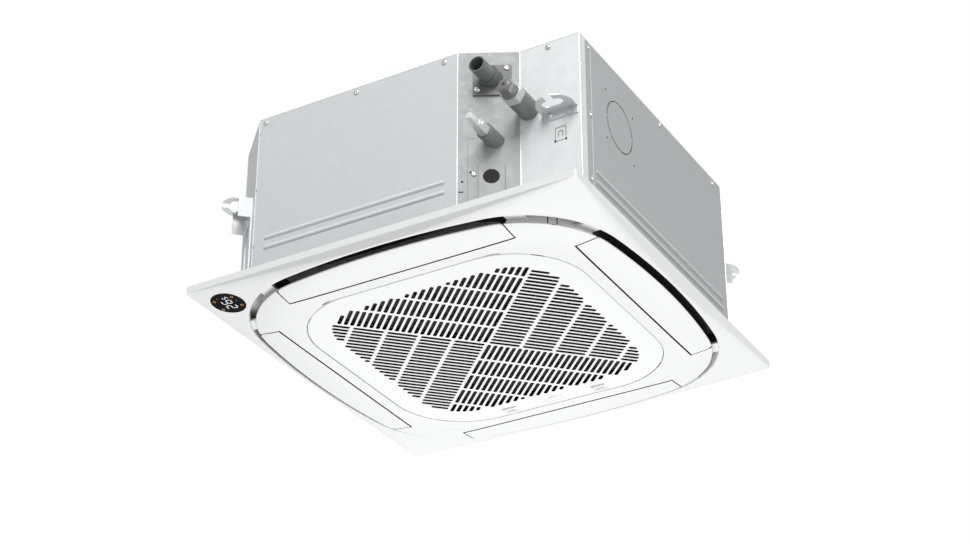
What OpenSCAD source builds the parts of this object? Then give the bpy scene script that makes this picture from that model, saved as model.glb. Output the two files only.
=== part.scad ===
// Compact four-way ceiling cassette air conditioner with its 620 mm grille panel.
// The origin is the centre of the panel on the ceiling plane, +Z up. The front is -Y,
// and the pipes leave at the corner between the front and the right side (+X).

/* [Casing] */
// Width and depth of the sheet metal casing
casing_size = 575; // [569:1:579]
// Height of the casing
casing_h = 260; // [250:1:290]
// Thickness of the casing sheet
sheet_t = 1; // [0.8:0.1:1.2]
// Width of a corner chamfer, measured along one side
chamfer = 72.5; // [66:0.5:78]
// Distance from the centre to the left edge of the slanted piping plate
recess_x = 118.9; // [112:0.5:122]
// Width of the piping recess along X
recess_run = 75.7; // [72:0.1:80]
// Depth of the piping recess
recess_depth = 40.2; // [36:0.1:42]
// Thickness of the foam that lines the sides
liner_t = 18; // [14:0.5:20]
// Thickness of the foam under the top plate
top_foam_t = 12; // [8:0.5:16]
// Radius of a stamped rib on the side panels
rib_r = 3.3; // [2.8:0.1:3.8]
// How far a stamped rib stands proud
rib_proud = 2.2; // [1.6:0.1:2.6]
// Head radius of a casing screw
screw_head_r = 4.2; // [3.6:0.1:4.8]
// Head height of a casing screw
screw_head_h = 2.2; // [1.6:0.1:2.8]
// Radius of the fresh air knock-out
knockout_r = 38; // [34:0.5:42]

/* [Hangers] */
// Height of the hanger lugs above the ceiling plane
lug_z = 142.5; // [135:0.5:150]
// Width of a hanger lug
lug_w = 54; // [50:0.5:58]
// Reach of a hanger lug from the casing
lug_reach = 41; // [39:0.5:44]
// Thickness of a hanger lug
lug_t = 2; // [1.6:0.1:2.6]
// Mouth of the slot that takes a suspension rod
lug_mouth = 11; // [10.5:0.1:12]
// Width of the wide part of the slot
lug_slot_w = 31; // [28:0.5:33]

/* [Drain and coil] */
// Height of the drain pan
pan_h = 42; // [38:0.5:46]
// Thickness of the pan floor under the coil
pan_floor = 15; // [12:0.5:18]
// Half size of the coil, outside
coil_half = 212; // [208:0.5:214]
// Thickness of the coil
coil_t = 26; // [22:0.5:28]
// Outer corner radius of the coil
coil_corner = 52; // [46:0.5:58]
// Clearance between the coil and the trough walls
coil_gap = 8; // [6:0.5:9]
// Spacing of the fin packs
fin_pitch = 12; // [10:0.5:16]
// Depth of the groove between two fin packs
fin_groove = 3; // [2:0.5:4]

/* [Fan] */
// Outer radius of the fan wheel
fan_r = 145; // [138:0.5:149]
// Radius of the inlet throat
throat_r = 100; // [94:0.5:104]
// Radius of the bell mouth's flare
flare_r = 22; // [18:0.5:24]
// Height of the fan wheel
fan_h = 134; // [126:1:138]
// Number of blades
blade_count = 7; // [5:1:9]
// Thickness of a blade
blade_t = 4; // [3:0.2:5]
// Radius of the fan motor
motor_r = 50; // [46:0.5:52]
// Radius of the motor shaft
shaft_r = 4; // [3.5:0.1:5]

/* [Pipes] */
// Height of the drain pipe's axis
drain_z = 218; // [214:0.5:222]
// Outer radius of the drain pipe
drain_r = 12.1; // [11:0.1:13]
// Wall of the drain pipe
drain_wall = 1.6; // [1.2:0.1:2]
// Reach of the drain pipe in front of the casing
drain_reach = 20.5; // [14:0.5:30]
// Height of the gas pipe's axis
gas_z = 159.8; // [158:0.5:164]
// Radius of the gas pipe
gas_r = 7.94; // [7:0.02:8.5]
// Outer radius of the gas pipe's sleeve
gas_sleeve_r = 15.3; // [14:0.1:15.6]
// Width across the flats of the gas flare nut
gas_nut_af = 29; // [27:0.1:30]
// Height of the liquid pipe's axis
liquid_z = 116.6; // [114:0.5:119]
// Radius of the liquid pipe
liquid_r = 3.18; // [2.8:0.02:3.6]
// Outer radius of the liquid pipe's sleeve
liquid_sleeve_r = 11.8; // [11:0.1:12.4]
// Width across the flats of the liquid flare nut
liquid_nut_af = 17; // [16:0.1:18]

/* [Panel] */
// Width and depth of the panel
panel_size = 620; // [612:1:626]
// Thickness of the panel's outer edge
rim_edge = 10.6; // [9:0.1:12]
// Drop from the ceiling to the lip of the opening
rim_drop = 19.5; // [18:0.1:21]
// Width of the rim from its edge to the middle of an outlet
rim_w = 9.7; // [9:0.1:11]
// Width of the flat lip round the opening
lip_w = 3.2; // [2.6:0.1:3.4]
// Thickness of the lip
lip_t = 2; // [1.6:0.1:2.4]
// Radius of the bow of each side of the opening
bow_r = 1140; // [1100:5:1180]
// Radius of the opening's corners
bow_corner = 158; // [154:0.5:162]
// Drop from the ceiling to the panel's lowest face
panel_drop = 29.4; // [28.6:0.1:31]
// Width of the gap between a louvre and the rim
louvre_gap = 16; // [14:0.5:17]
// Width of the curved edge of the louvres and of the middle frame
dome_w = 45; // [43:0.5:46]
// Rise of the curved edge
dome_rise = 9.4; // [9:0.1:9.8]
// Wall thickness of the panel mouldings
wall = 2.5; // [2.2:0.1:2.8]
// Radius of the display window
display_r = 25.5; // [23:0.1:26]

/* [Louvres] */
// Half length of a louvre
louvre_half = 180.2; // [178:0.1:182]
// Seam between a louvre and the frame, along its inner edge
louvre_seam = 2.3; // [2.2:0.1:3]
// Radius of a louvre pin
pin_r = 1.2; // [1.1:0.05:1.25]
// Distance of the pin from the louvre's inner edge
pin_in = 3.9; // [3.9:0.1:4.6]
// Height of the pin above the louvre's lowest face
pin_up = 5.2; // [5:0.1:5.4]

/* [Grille] */
// Half size of the intake grille
grille_half = 218.6; // [218:0.1:219]
// Corner radius of the intake grille
grille_corner = 114.6; // [110:0.1:118]
// Gap between the grille and the frame
grille_gap = 1; // [1:0.1:1.4]
// Half size of the slotted area
slots_half = 184; // [180:0.5:186]
// Corner radius of the slotted area
slots_corner = 79; // [74:0.5:84]
// Spacing of the slots
slot_pitch = 9.32; // [9:0.01:10]
// Width of a slot
slot_w = 5.9; // [5:0.1:6.4]
// Length of a full slot
slot_len = 44.9; // [42:0.1:46]
// Width of the bar between two rows of slots
slot_bar = 4.8; // [4:0.1:5.4]
// Length of the corner cut of a slot
slot_corner = 1.7; // [1.2:0.1:2]
// Half spacing of the two latches
latch_x = 76; // [70:0.5:82]
// Travel of a latch
latch_travel = 6; // [5:0.1:6.2]

/* [Hidden] */
$fn = 96;

// Overrun of every cut, and running gaps
cut = 1;
gap = 0.3;
fit = 0.08;
skin = 0.02;
round_fn = 180;
bow_fn = 480;

// Casing
gasket_t = 3;
casing_half = casing_size / 2;
casing_top = gasket_t + casing_h;
corner_from = casing_half - chamfer;
recess_turn = atan2(recess_depth, recess_run);
recess_len = norm([recess_run, recess_depth]);
step_y = -casing_half + recess_depth;
step_x = recess_x + recess_run;
foam_in = sheet_t + liner_t;
screw_down = 8;
seam_back = 16.3;

rib_z = [57.5, 41.6];
rib_end = 22;
knockout_y = -129;
knockout_z = 174;
slit_w = 1;
knockout_bridge = 6;
pilot_dz = 80;
pilot_dy = 83;
pilot_r = 2;
inspection_s = 46;
inspection_z = 59.5;
inspection_r = 11.4;
inspection_s0 = 28.5;
inspection_w = 36;
inspection_h = 75.5;
inspection_screw_s = 22.4;
inspection_screw_z = 64.2;
wiring_t = 1.2;
cover_x0 = 229;
wiring_edge = 2;
cable_x = 246.8;
cable_z = 94;
cable_w = 19.2;
cable_h = 25;
knock_t = 0.8;
cable_notch_r = 2;
lug4_x = 256.5;
lug_leg = 30;
lug4_leg = 11;
strap_w = 10;
lug_shoulder = 27;
lug_slot_out = 19;
lug_slot_d = 14;
chamfer_at = (casing_half + corner_from) / sqrt(2);
front_screws = [-204, -48.5, 96.8];
step_screw_x = 239.1;
right_screws = [-221.9, 1.6, 184.1];
right_low_screws = [143.9, 41.4];
right_low_in = 9.5;
cover_screws = [241.9, 271.6];
flange_screws = [[26.5, 199], [67.6, 234.3]];
foam_clear = 1;
top_ring_w = 14;

// Drain pan, coil and fan heights
pan_top = gasket_t + pan_h;
coil_bottom = gasket_t + pan_floor;
coil_top = casing_top - sheet_t - top_foam_t;
coil_in = coil_half - coil_t;
trough_out = coil_half + coil_gap;
trough_in = coil_in - coil_gap;
inlet_wall = 8;
vent_wall = 18;
vent_in = trough_out + vent_wall;
vent_out = casing_half - foam_in;
vent_half = louvre_half - 2.2;
inlet_half = trough_in - inlet_wall;
inlet_corner = 40;
bell_t = 2;
bell_top = pan_top + flare_r;
fan_overlap = 6;
fan_bottom = bell_top - fan_overlap;
fan_top = fan_bottom + fan_h;
shroud_rise = 44;
hub_wall = 2.5;
hub_r = 22;
hub_in = throat_r - 20;
hub_floor = fan_bottom + 66;
motor_clear = 14;
motor_bottom = hub_floor + hub_wall + motor_clear;
shaft_bottom = hub_floor - 30;
nut_h = 8;
nut_top = shaft_bottom + nut_h + 2;
bush_r = 7;
bush_h = 6;
motor_top = casing_top - sheet_t - bush_h;
motor_nose = 16;
nose_h = 6;
ear_h = 4;
motor_ear = 9;
shaft_in = 60;
hub_low = hub_in - 18;
blade_in = 6;
blade_z = bell_top + 6;
shroud_in = throat_r + bell_t + 3.5;
shroud_run = fan_r - shroud_in;
shroud_r = (shroud_run * shroud_run + shroud_rise * shroud_rise) / (2 * shroud_run);
bell_edge = 2;
coil_end = coil_half - coil_corner - 8;
bend_count = 7;
bend_r = 8;
tube_r = 3.5;
gas_header_out = 20;
header_z0 = 52;
liquid_header_y = -coil_in - tube_r - 0.5;
pump_at = 188;
pump_r = 14;
pump_z = 60;
pump_h = 48;
pump_leg_r = 1.8;
pump_leg_at = 11.6;
pump_tube_r = 9;
impeller_z = coil_bottom + 4;
impeller_h = 12;
impeller_r = 8;
vane_t = 1.2;
float_x = 196;
float_y = 174;
float_z = coil_bottom + 2;
float_turn = atan2(pump_at - float_y, float_x - pump_at);
float_stem_r = 1.5;
float_r = 6.5;
float_h = 10;
float_arm = 9;
float_arm_w = 5;
float_arm_t = 3;
hose_r = 6;
hose_y = 219;
collar_in = 10;
pilot_h = 12;
back_screw_x = 193.5;
box_half = 140;
box_y0 = 124;
box_y1 = 168;
box_z0 = 6;
board_up = 6;
board_t = 1.6;
blade_off = 62;
blade_bow = 95;

// Pipes: X follows the slanted plate, and every pipe runs along Y
plate_along = [cos(recess_turn), sin(recess_turn)];
drain_s = 47;
drain_step = 0.6;
drain_seat_r = drain_r + drain_step;
flange_s = [20.7, 73.8];
flange_z = [190, 239.5];
gas_x = 208.8;
liquid_s = 50.8;
pipe_inside = 26;
gas_sleeve_len = 40;
gas_nut_len = 14;
gas_cap_len = 19;
liquid_nut_len = 19;
liquid_cap_len = 24;
nut_fn = 6;

// Panel
panel_half = panel_size / 2;
panel_corner = 4;
opening_half = panel_half - rim_w;
bow_steps = 12;
corner_steps = 10;
// Centre of the corner arcs of the bowed opening, where they run on smoothly from the side arcs
bow_across = bow_r - opening_half;
bow_between = bow_r - bow_corner;
bow_centre = (-bow_across + sqrt(2 * bow_between * bow_between - bow_across * bow_across)) / 2;
bow_tilt = asin(bow_centre / bow_between);
island_in = louvre_gap;
flat_in = louvre_gap + dome_w;
dome_r = (dome_w * dome_w + dome_rise * dome_rise) / (2 * dome_rise);
dome_from = bow_corner - flat_in;
dome_to = bow_corner - louvre_gap;
lip_top = rim_drop - lip_t;
frame_top = panel_drop - wall;
island_half = opening_half - louvre_gap;
seam_half = louvre_seam / 2;
louvre_in = island_half - dome_w + seam_half;
frame_edge = louvre_in - louvre_seam;
louvre_end_gap = 1;
window_half = louvre_half + louvre_end_gap;
duct_wall = 2.5;
duct_half = window_half + 0.8 + duct_wall;
duct_back = 2.2;
duct_in = frame_edge - duct_back - duct_wall;
duct_end_z = lip_top - 1.2;
duct_roof = 2.5;
pin_at = louvre_in + pin_in;
pin_z = -panel_drop + pin_up;
ear_x = 80;
ear_t = 3;
ear_r = 2.1;
ear_rise = 12;
ear_arm = 4;
skirt_z = panel_drop - dome_rise - wall / 2;
lug_tip_r = 1.25;
lug_rise = 8;
cavity_from = 150;
gasket_in = 2;
flange_t = 3;
flange_wall = 3;
flange_collar = 12;
nut_grip = 7;
cap_dimple = 2.5;
liquid_sleeve_len = 44.7;
liquid_end_y = step_y - liquid_sleeve_len;
cap_taper = 3;
liquid_cap_r = 5.75;
boss_r = 2.6;
boss_len = 5;
end_round = 5.5;
bridge_to = 209;
bridge_t = 3;
intake_wall = 2.5;
intake_in = grille_half + grille_gap + 1.9;
tab_at = 170;
tab_r = 12;
panel_screw_r = 2.5;
display_margin = 22;
display_lip = bow_centre + bow_corner / sqrt(2);
display_at = display_lip + display_margin;
display_t = 1.8;
display_set = 1.4;
motor_body_r = 8;
motor_body_len = 12;
motor_down = 12.6;
motor_out = 3;
spindle_r = 2.5;

duct_skin = 1.7;
duct_step = 1.7;
louvre_rib_h = 3.5;
rib_in = 14;
rib_t = 2;
rib_up = 2;
end_over = 0.5;
// A louvre has one bow, through the middle of its outer edge and the corner arc at its ends
louvre_drop = island_half - bow_centre
    - sqrt(pow(bow_corner - island_in, 2) - pow(louvre_half - bow_centre, 2));
louvre_bow_r = (louvre_half * louvre_half + louvre_drop * louvre_drop) / (2 * louvre_drop);
louvre_tilt = asin(louvre_half / louvre_bow_r) + 1;
end_y = island_half - louvre_bow_r + sqrt(pow(louvre_bow_r - end_round + end_over, 2)
    - pow(louvre_half - end_round, 2));

// Grille details
slot_start = 2.6;
back_rib_w = 3;
back_rib_h = 2.6;
ring_rib = 192;
post_r = 2.4;
clip_w = 12;
clip_t = 2;
slider_up = 0.3;
slider_from = 192.5;
slider_shoulder = 215.5;
tongue_w = 14;
lip_in = 1.2;
rail_lip = 0.4;
finger_w = 14;
finger_d = 6;
finger_deep = 1;
cover_gap = 0.2;
edge_cut = 1.3;
edge_cut_h = 1.3;
hinge_in = 2.6;
notch_w = 1.5;
notch_deep = 1.4;
hinge_up = 2.8;
// The frame's hole is wider at the hinge side's corners, where the grille's edge swings up and out
hinge_relief = 3;
relief_fall = 2 * hinge_up + edge_cut;
relief_half = grille_half - grille_corner
    + sqrt(pow(grille_corner, 2) - pow(grille_corner - relief_fall, 2));
hinge_bore = 1.25;
hinge_pin = 1.17;
barrel_r = 2.55;
barrel_x = 60;
barrel_len = 20;
lug_side = 4;
pin_len = 8;
shortest_slot = 5;
latch_y = 204;
latch_w = 22.6;
latch_d = 17;
slider_t = 2;
slider_side = 3;
rail_w = 2;
pad_proud = 2.2;
cover_w = 30;
cover_d = 15.5;
cover_t = 1.6;
filter_half = 186;
filter_corner = 82;
filter_w = 8;
filter_t = 3;
filter_up = 3.4;
mesh_t = 0.6;

function casing_outline(inset) = let (
    h = casing_half - inset,
    c = corner_from - inset * tan(22.5),
    shift = inset * tan(recess_turn / 2)
) [
    [-c, -h], [recess_x - shift, -h], [step_x - shift, step_y + inset], [h, step_y + inset],
    [h, c], [c, h], [-c, h], [-h, c], [-h, -c]
];

function turned(p, a) = [p.x * cos(a) - p.y * sin(a), p.x * sin(a) + p.y * cos(a)];

function bowed(inset) = let (
    quarter = concat(
        [for (i = [0 : corner_steps]) let (a = bow_tilt + (90 - 2 * bow_tilt) * i / corner_steps)
            [bow_centre + (bow_corner - inset) * cos(a), bow_centre + (bow_corner - inset) * sin(a)]],
        [for (i = [1 : bow_steps - 1]) let (a = 90 - bow_tilt + 2 * bow_tilt * i / bow_steps)
            [(bow_r - inset) * cos(a), (bow_r - inset) * sin(a) - bow_across]]
    )
) [for (side = [0 : 3]) for (p = quarter) turned(p, 90 * side)];

module at_corners(d) {
    for (sx = [-1, 1], sy = [-1, 1]) translate([sx * d, sy * d]) children();
}

module rounded_square(half, r) {
    square([2 * half, 2 * (half - r)], center = true);
    square([2 * (half - r), 2 * half], center = true);
    at_corners(half - r) circle(r);
}

module slab(z0, z1) {
    translate([0, 0, z0]) linear_extrude(z1 - z0) children();
}

module along_y(x, z, y0, y1) {
    translate([x, y0, z]) rotate([-90, 0, 0]) linear_extrude(y1 - y0) children();
}

module on_piping_plate(s, z) {
    translate([recess_x + s * plate_along.x, -casing_half + s * plate_along.y, z])
        rotate([0, 0, recess_turn]) children();
}

function plate_x(s) = recess_x + s * plate_along.x;
function plate_y(x) = -casing_half + (x - recess_x) * tan(recess_turn);

module screw_head(r = screw_head_r, h = screw_head_h) {
    rotate([90, 0, 0]) difference() {
        union() {
            cylinder(r = r, h = h / 2);
            cylinder(r1 = r, r2 = r * 0.7, h = h);
        }
        translate([0, 0, h / 2]) cylinder(r = r / 2, h = h, $fn = 6);
    }
}

// Sheet metal casing

module casing_ring(inset, t) {
    difference() {
        polygon(casing_outline(inset));
        polygon(casing_outline(inset + t));
    }
}

module wedge(i) {
    p = casing_outline(0);
    q = p[(i + 1) % len(p)];
    polygon([[0, 0], 2 * p[i], 2 * q]);
}

module wrap_zone() {
    translate([corner_from, 2 * step_y]) square([2 * chamfer, seam_back - step_y]);
}

module side(i) {
    slab(gasket_t, casing_top - sheet_t) intersection() {
        casing_ring(0, sheet_t);
        wedge(i);
    }
}

// A raised rib along X on the plane y = 0, standing towards -Y
module rib(x0, x1) {
    intersection() {
        translate([0, rib_r - rib_proud, 0]) {
            translate([x0, 0, 0]) rotate([0, 90, 0]) cylinder(r = rib_r, h = x1 - x0);
            for (x = [x0, x1]) translate([x, 0, 0]) sphere(rib_r);
        }
        translate([x0 - 2 * rib_r, -rib_r, -rib_r]) cube([x1 - x0 + 4 * rib_r, rib_r, 2 * rib_r]);
    }
}

module side_ribs(x0, x1) {
    for (z = rib_z) translate([0, 0, z]) rib(x0, x1);
}

module front_panel() {
    color("gainsboro") {
        side(0);
        translate([0, -casing_half, 0]) side_ribs(-corner_from + rib_end, recess_x - rib_end);
    }
}

module left_panel() {
    color("gainsboro") {
        side(7);
        rotate([0, 0, -90]) translate([0, -casing_half, 0])
            side_ribs(-corner_from + rib_end, corner_from - rib_end);
    }
}

module back_panel() {
    color("gainsboro") {
        side(5);
        rotate([0, 0, 180]) translate([0, -casing_half, 0])
            side_ribs(-corner_from + rib_end, corner_from - rib_end);
    }
}

module right_panel() {
    color("gainsboro") {
        difference() {
            slab(gasket_t, casing_top - sheet_t) difference() {
                intersection() {
                    casing_ring(0, sheet_t);
                    wedge(3);
                }
                wrap_zone();
            }
            translate([casing_half, knockout_y, knockout_z]) rotate([0, 90, 0]) {
                knockout_slit();
                for (sx = [-1, 1], sy = [-1, 1])
                    translate([sx * pilot_dz / 2, sy * pilot_dy / 2, -2 * sheet_t])
                        cylinder(r = pilot_r, h = 4 * sheet_t);
            }
        }
        rotate([0, 0, 90]) translate([0, -casing_half, 0])
            side_ribs(step_y + seam_back + rib_end + rib_r, corner_from - rib_end);
    }
}

module knockout_slit() {
    translate([0, 0, -2 * sheet_t]) linear_extrude(4 * sheet_t) difference() {
        circle(knockout_r + slit_w / 2);
        circle(knockout_r - slit_w / 2);
        for (a = [45, 135]) rotate(a) square([4 * knockout_r, knockout_bridge], center = true);
    }
}

module corner_plates() {
    color("silver") for (i = [4, 6, 8]) side(i);
}

module piping_plate() {
    color("gainsboro") difference() {
        side(1);
        pipe_bores();
        on_piping_plate(inspection_s, inspection_z) rotate([90, 0, 0])
            translate([0, 0, -2 * sheet_t]) cylinder(r = inspection_r, h = 4 * sheet_t);
    }
}

// Holes for the pipes through the plates and the foam
module pipe_bores(extra = 0) {
    along_y(plate_x(drain_s), drain_z, step_y - 2 * recess_depth, step_y + 2 * foam_in)
        circle(drain_seat_r + extra);
    along_y(gas_x, gas_z, step_y - cut, step_y + 2 * foam_in) circle(gas_r + extra);
    along_y(plate_x(liquid_s), liquid_z, step_y - 2 * recess_depth, step_y + 2 * foam_in)
        circle(liquid_r + extra);
}

module wiring_plate() {
    color("gainsboro") difference() {
        slab(gasket_t, casing_top - sheet_t) intersection() {
            casing_ring(0, sheet_t);
            union() {
                wedge(2);
                wrap_zone();
            }
        }
        pipe_bores();
    }
}

// The raised cover over the cable entry, on the step below the fourth hanger
module wiring_cover() {
    color("lightgray") difference() {
        translate([cover_x0, step_y - wiring_t, gasket_t])
            cube([casing_half - cover_x0 - wiring_edge, wiring_t, lug_z - lug_t - gasket_t]);
        translate([cable_x, step_y - wiring_t - cut, cable_z])
            cube([cable_w, wiring_t + 2 * cut, cable_h]);
    }
}

module wiring_knockout() {
    color("darkgray") difference() {
        translate([cable_x, step_y - knock_t, cable_z]) cube([cable_w, knock_t, cable_h]);
        for (x = [cable_x, cable_x + cable_w]) translate([x, step_y - wiring_t, cable_z])
            rotate([-90, 0, 0]) linear_extrude(2 * wiring_t) circle(cable_notch_r);
    }
}

module inspection_plate() {
    color("lightgray") difference() {
        on_piping_plate(inspection_s0, gasket_t) translate([0, -sheet_t, 0])
            cube([inspection_w, sheet_t, inspection_h]);
        on_piping_plate(inspection_s, inspection_z) rotate([90, 0, 0])
            translate([0, 0, -2 * sheet_t]) cylinder(r = inspection_r, h = 4 * sheet_t);
    }
}

module top_plate() {
    color("gainsboro") {
        slab(casing_top - sheet_t, casing_top) polygon(casing_outline(0));
        slab(coil_top, casing_top - sheet_t) casing_ring(sheet_t, sheet_t);
        slab(casing_top, casing_top + rib_proud) difference() {
            circle(motor_r + top_ring_w);
            circle(motor_r);
        }
    }
}

// A hanger lug standing out of the plane y = 0 towards -Y, its lower face at z = 0
module lug(leg) {
    slab(0, lug_t) difference() {
        union() {
            translate([-lug_w / 2, -lug_reach + lug_shoulder]) square([lug_w, lug_reach - lug_shoulder]);
            intersection() {
                translate([0, -lug_reach + lug_shoulder]) circle(lug_w / 2);
                translate([-lug_w / 2, -lug_reach]) square([lug_w, lug_reach]);
            }
        }
        translate([-lug_mouth / 2, -lug_reach - cut]) square([lug_mouth, lug_reach / 2]);
        lug_slot();
    }
    translate([-lug_w / 2, -lug_t, -leg]) cube([lug_w, lug_t, leg + lug_t / 2]);
}

// The gussets under a lug, and the two straps that run down the chamfer from it
module lug_bracket() {
    for (s = [-1, 1]) {
        translate([s * (lug_w - lug_t) / 2 - lug_t / 2, -lug_reach / 2, -lug_leg])
            cube([lug_t, lug_reach / 2, lug_leg + lug_t / 2]);
        translate([s * (lug_w - strap_w) / 2 - strap_w / 2, -lug_t, gasket_t - lug_z])
            cube([strap_w, lug_t, lug_z - gasket_t]);
    }
}

module lug_slot() {
    translate([0, -lug_reach + lug_slot_out]) {
        for (s = [-1, 1]) translate([s * (lug_slot_w - lug_slot_d) / 2, 0]) circle(lug_slot_d / 2);
        square([lug_slot_w - lug_slot_d, lug_slot_d], center = true);
    }
}

module at_chamfers() {
    for (a = [135, 225, 315]) rotate([0, 0, a]) translate([0, -chamfer_at, 0]) children();
}

module hanger_lugs() {
    color("lightgray") {
        at_chamfers() translate([0, 0, lug_z]) {
            lug(lug_leg);
            lug_bracket();
        }
        translate([lug4_x, step_y - wiring_t, lug_z]) lug(lug4_leg);
    }
}

module casing_screws() {
    color("silver") {
        z = casing_top - screw_down;
        for (x = front_screws) translate([x, -casing_half, z]) screw_head();
        translate([step_screw_x, step_y, z]) screw_head();
        for (y = right_screws) translate([casing_half, y, z]) rotate([0, 0, 90]) screw_head();
        for (low = right_low_screws) translate([casing_half, step_y + seam_back + right_low_in, low])
            rotate([0, 0, 90]) screw_head();
        for (x = [-1, 0, 1]) {
            translate([x * back_screw_x, casing_half, z]) rotate([0, 0, 180]) screw_head();
            translate([-casing_half, x * back_screw_x, z]) rotate([0, 0, -90]) screw_head();
        }
        for (x = cover_screws) translate([x, step_y - wiring_t - lug_t, lug_z - lug4_leg / 2])
            screw_head();
        on_piping_plate(inspection_screw_s, inspection_screw_z) screw_head();
        for (p = flange_screws) on_piping_plate(p.x, p.y) translate([0, -flange_t, 0]) screw_head();
        at_chamfers() for (sx = [-1, 1])
            translate([sx * lug_w / 4, -lug_t, lug_z - lug_leg / 2]) screw_head();
    }
}

module foam_liner() {
    color("dimgray") {
        difference() {
            slab(pan_top, coil_top) casing_ring(sheet_t, liner_t);
            pipe_bores(foam_clear);
        }
        slab(coil_top, casing_top - sheet_t) difference() {
            polygon(casing_outline(2 * sheet_t));
            circle(motor_r + motor_clear);
        }
    }
}

// Air path inside the casing

module vent_opening() {
    for (a = [0 : 90 : 270]) intersection() {
        rotate(a) translate([-vent_half, vent_in]) square([2 * vent_half, vent_out + foam_in]);
        polygon(casing_outline(foam_in));
    }
}

module drain_pan() {
    color("whitesmoke") difference() {
        slab(gasket_t, pan_top) difference() {
            polygon(casing_outline(sheet_t));
            rounded_square(inlet_half, inlet_corner);
            vent_opening();
        }
        slab(coil_bottom, pan_top + cut) difference() {
            rounded_square(trough_out, coil_corner + coil_gap);
            rounded_square(trough_in, coil_corner - coil_t - coil_gap);
        }
        at_corners(tab_at) translate([0, 0, gasket_t - cut]) cylinder(r = panel_screw_r, h = pilot_h + cut);
    }
}

module coil_section(outer, inner) {
    difference() {
        rounded_square(coil_half - outer, coil_corner - outer);
        rounded_square(coil_in + inner, coil_corner - coil_t + inner);
        translate([coil_end, -coil_half - cut]) square([coil_half, coil_half + cut - coil_end]);
    }
}

module coil_fins() {
    n = floor((coil_half - coil_corner) / fin_pitch);
    color("lightsteelblue") slab(coil_bottom, coil_top) difference() {
        coil_section(0, 0);
        for (a = [0 : 90 : 270], i = [-n : n]) rotate(a)
            translate([i * fin_pitch, coil_half]) square([fin_groove, 2 * fin_groove], center = true);
    }
}

module coil_tubes() {
    step = (coil_top - coil_bottom) / bend_count;
    color("peru") {
        for (i = [0 : bend_count - 1]) {
            z = coil_bottom + step * (i + 0.5);
            translate([coil_half - coil_t / 2, -coil_end, z]) bend();
            translate([coil_end, -coil_half + coil_t / 2, z]) rotate([0, 0, 90]) bend();
            translate([gas_x, -coil_end, z]) rotate([90, 0, 0])
                cylinder(r = tube_r, h = gas_header_out);
            translate([coil_end, liquid_header_y, z]) rotate([0, 90, 0])
                cylinder(r = tube_r, h = plate_x(liquid_s) - coil_end);
        }
        translate([gas_x, -coil_end - gas_header_out, header_z0])
            cylinder(r = gas_r, h = coil_top - header_z0 - tube_r);
        translate([plate_x(liquid_s), liquid_header_y, header_z0])
            cylinder(r = liquid_r + 1, h = coil_top - header_z0 - tube_r);
    }
}

// A return bend of the coil, standing out of the plane y = 0 towards -Y
module bend() {
    rotate([0, 90, 0]) rotate([0, 0, 180]) rotate_extrude(angle = 180)
        translate([bend_r, 0]) circle(tube_r);
}

module bell_mouth() {
    color("whitesmoke") {
        slab(pan_top, pan_top + bell_t) difference() {
            rounded_square(trough_in - bell_edge, coil_corner - coil_t);
            circle(throat_r + flare_r);
        }
        rotate_extrude() translate([throat_r + flare_r, bell_top]) intersection() {
            difference() {
                circle(flare_r);
                circle(flare_r - bell_t);
            }
            translate([-flare_r, -flare_r]) square(flare_r);
        }
    }
}

module fan_motor() {
    color("dimgray") difference() {
        union() {
            rotate_extrude() polygon([
                [0, motor_bottom], [motor_nose, motor_bottom], [motor_nose, motor_bottom + nose_h],
                [motor_r - nose_h, motor_bottom + nose_h], [motor_r, motor_bottom + 2 * nose_h],
                [motor_r, motor_top], [0, motor_top]
            ]);
            slab(motor_top - ear_h, motor_top) circle(motor_r + motor_ear);
        }
        translate([0, 0, motor_bottom - cut]) cylinder(r = shaft_r + fit, h = shaft_in + cut);
    }
}

module at_bushes() {
    for (a = [30, 150, 270]) rotate([0, 0, a]) translate([motor_r, 0, 0]) children();
}

module motor_bushes() {
    color("black") at_bushes() translate([0, 0, motor_top])
        cylinder(r = bush_r, h = casing_top - sheet_t - motor_top);
}

module motor_shaft() {
    color("silver") translate([0, 0, shaft_bottom])
        cylinder(r = shaft_r, h = motor_bottom + shaft_in - gap - shaft_bottom);
}

module blade_zone() {
    difference() {
        polygon([
            [hub_in + blade_in, blade_z], [fan_r, blade_z], [fan_r, fan_top - hub_wall],
            [hub_in, fan_top - hub_wall], [hub_in, fan_top - hub_wall - blade_in]
        ]);
        translate([shroud_in + shroud_r, fan_bottom]) circle(shroud_r - hub_wall / 2);
    }
}

module blade_arc() {
    intersection() {
        translate([blade_off, 0]) difference() {
            circle(blade_bow + blade_t / 2);
            circle(blade_bow - blade_t / 2);
        }
        square(2 * fan_r);
    }
}

module fan_wheel() {
    color("whitesmoke") {
        intersection() {
            rotate_extrude() blade_zone();
            slab(fan_bottom, fan_top) for (i = [0 : blade_count - 1])
                rotate(i * 360 / blade_count) blade_arc();
        }
        rotate_extrude() difference() {
            polygon([
                [shaft_r, nut_top], [hub_r, nut_top], [hub_r, hub_floor], [hub_low, hub_floor],
                [hub_in, fan_top - hub_wall], [fan_r, fan_top - hub_wall], [fan_r, fan_top],
                [hub_in - hub_wall, fan_top], [hub_low - hub_wall, hub_floor + hub_wall],
                [shaft_r, hub_floor + hub_wall]
            ]);
            translate([shaft_r + hub_wall + 1, nut_top - cut])
                square([hub_r - shaft_r - 2 * hub_wall - 1, hub_floor - nut_top + cut]);
        }
        rotate_extrude() intersection() {
            translate([shroud_in + shroud_r, fan_bottom]) difference() {
                circle(shroud_r);
                circle(shroud_r - hub_wall);
            }
            translate([shroud_in, fan_bottom]) square([fan_r - shroud_in, shroud_rise]);
        }
    }
}

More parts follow.
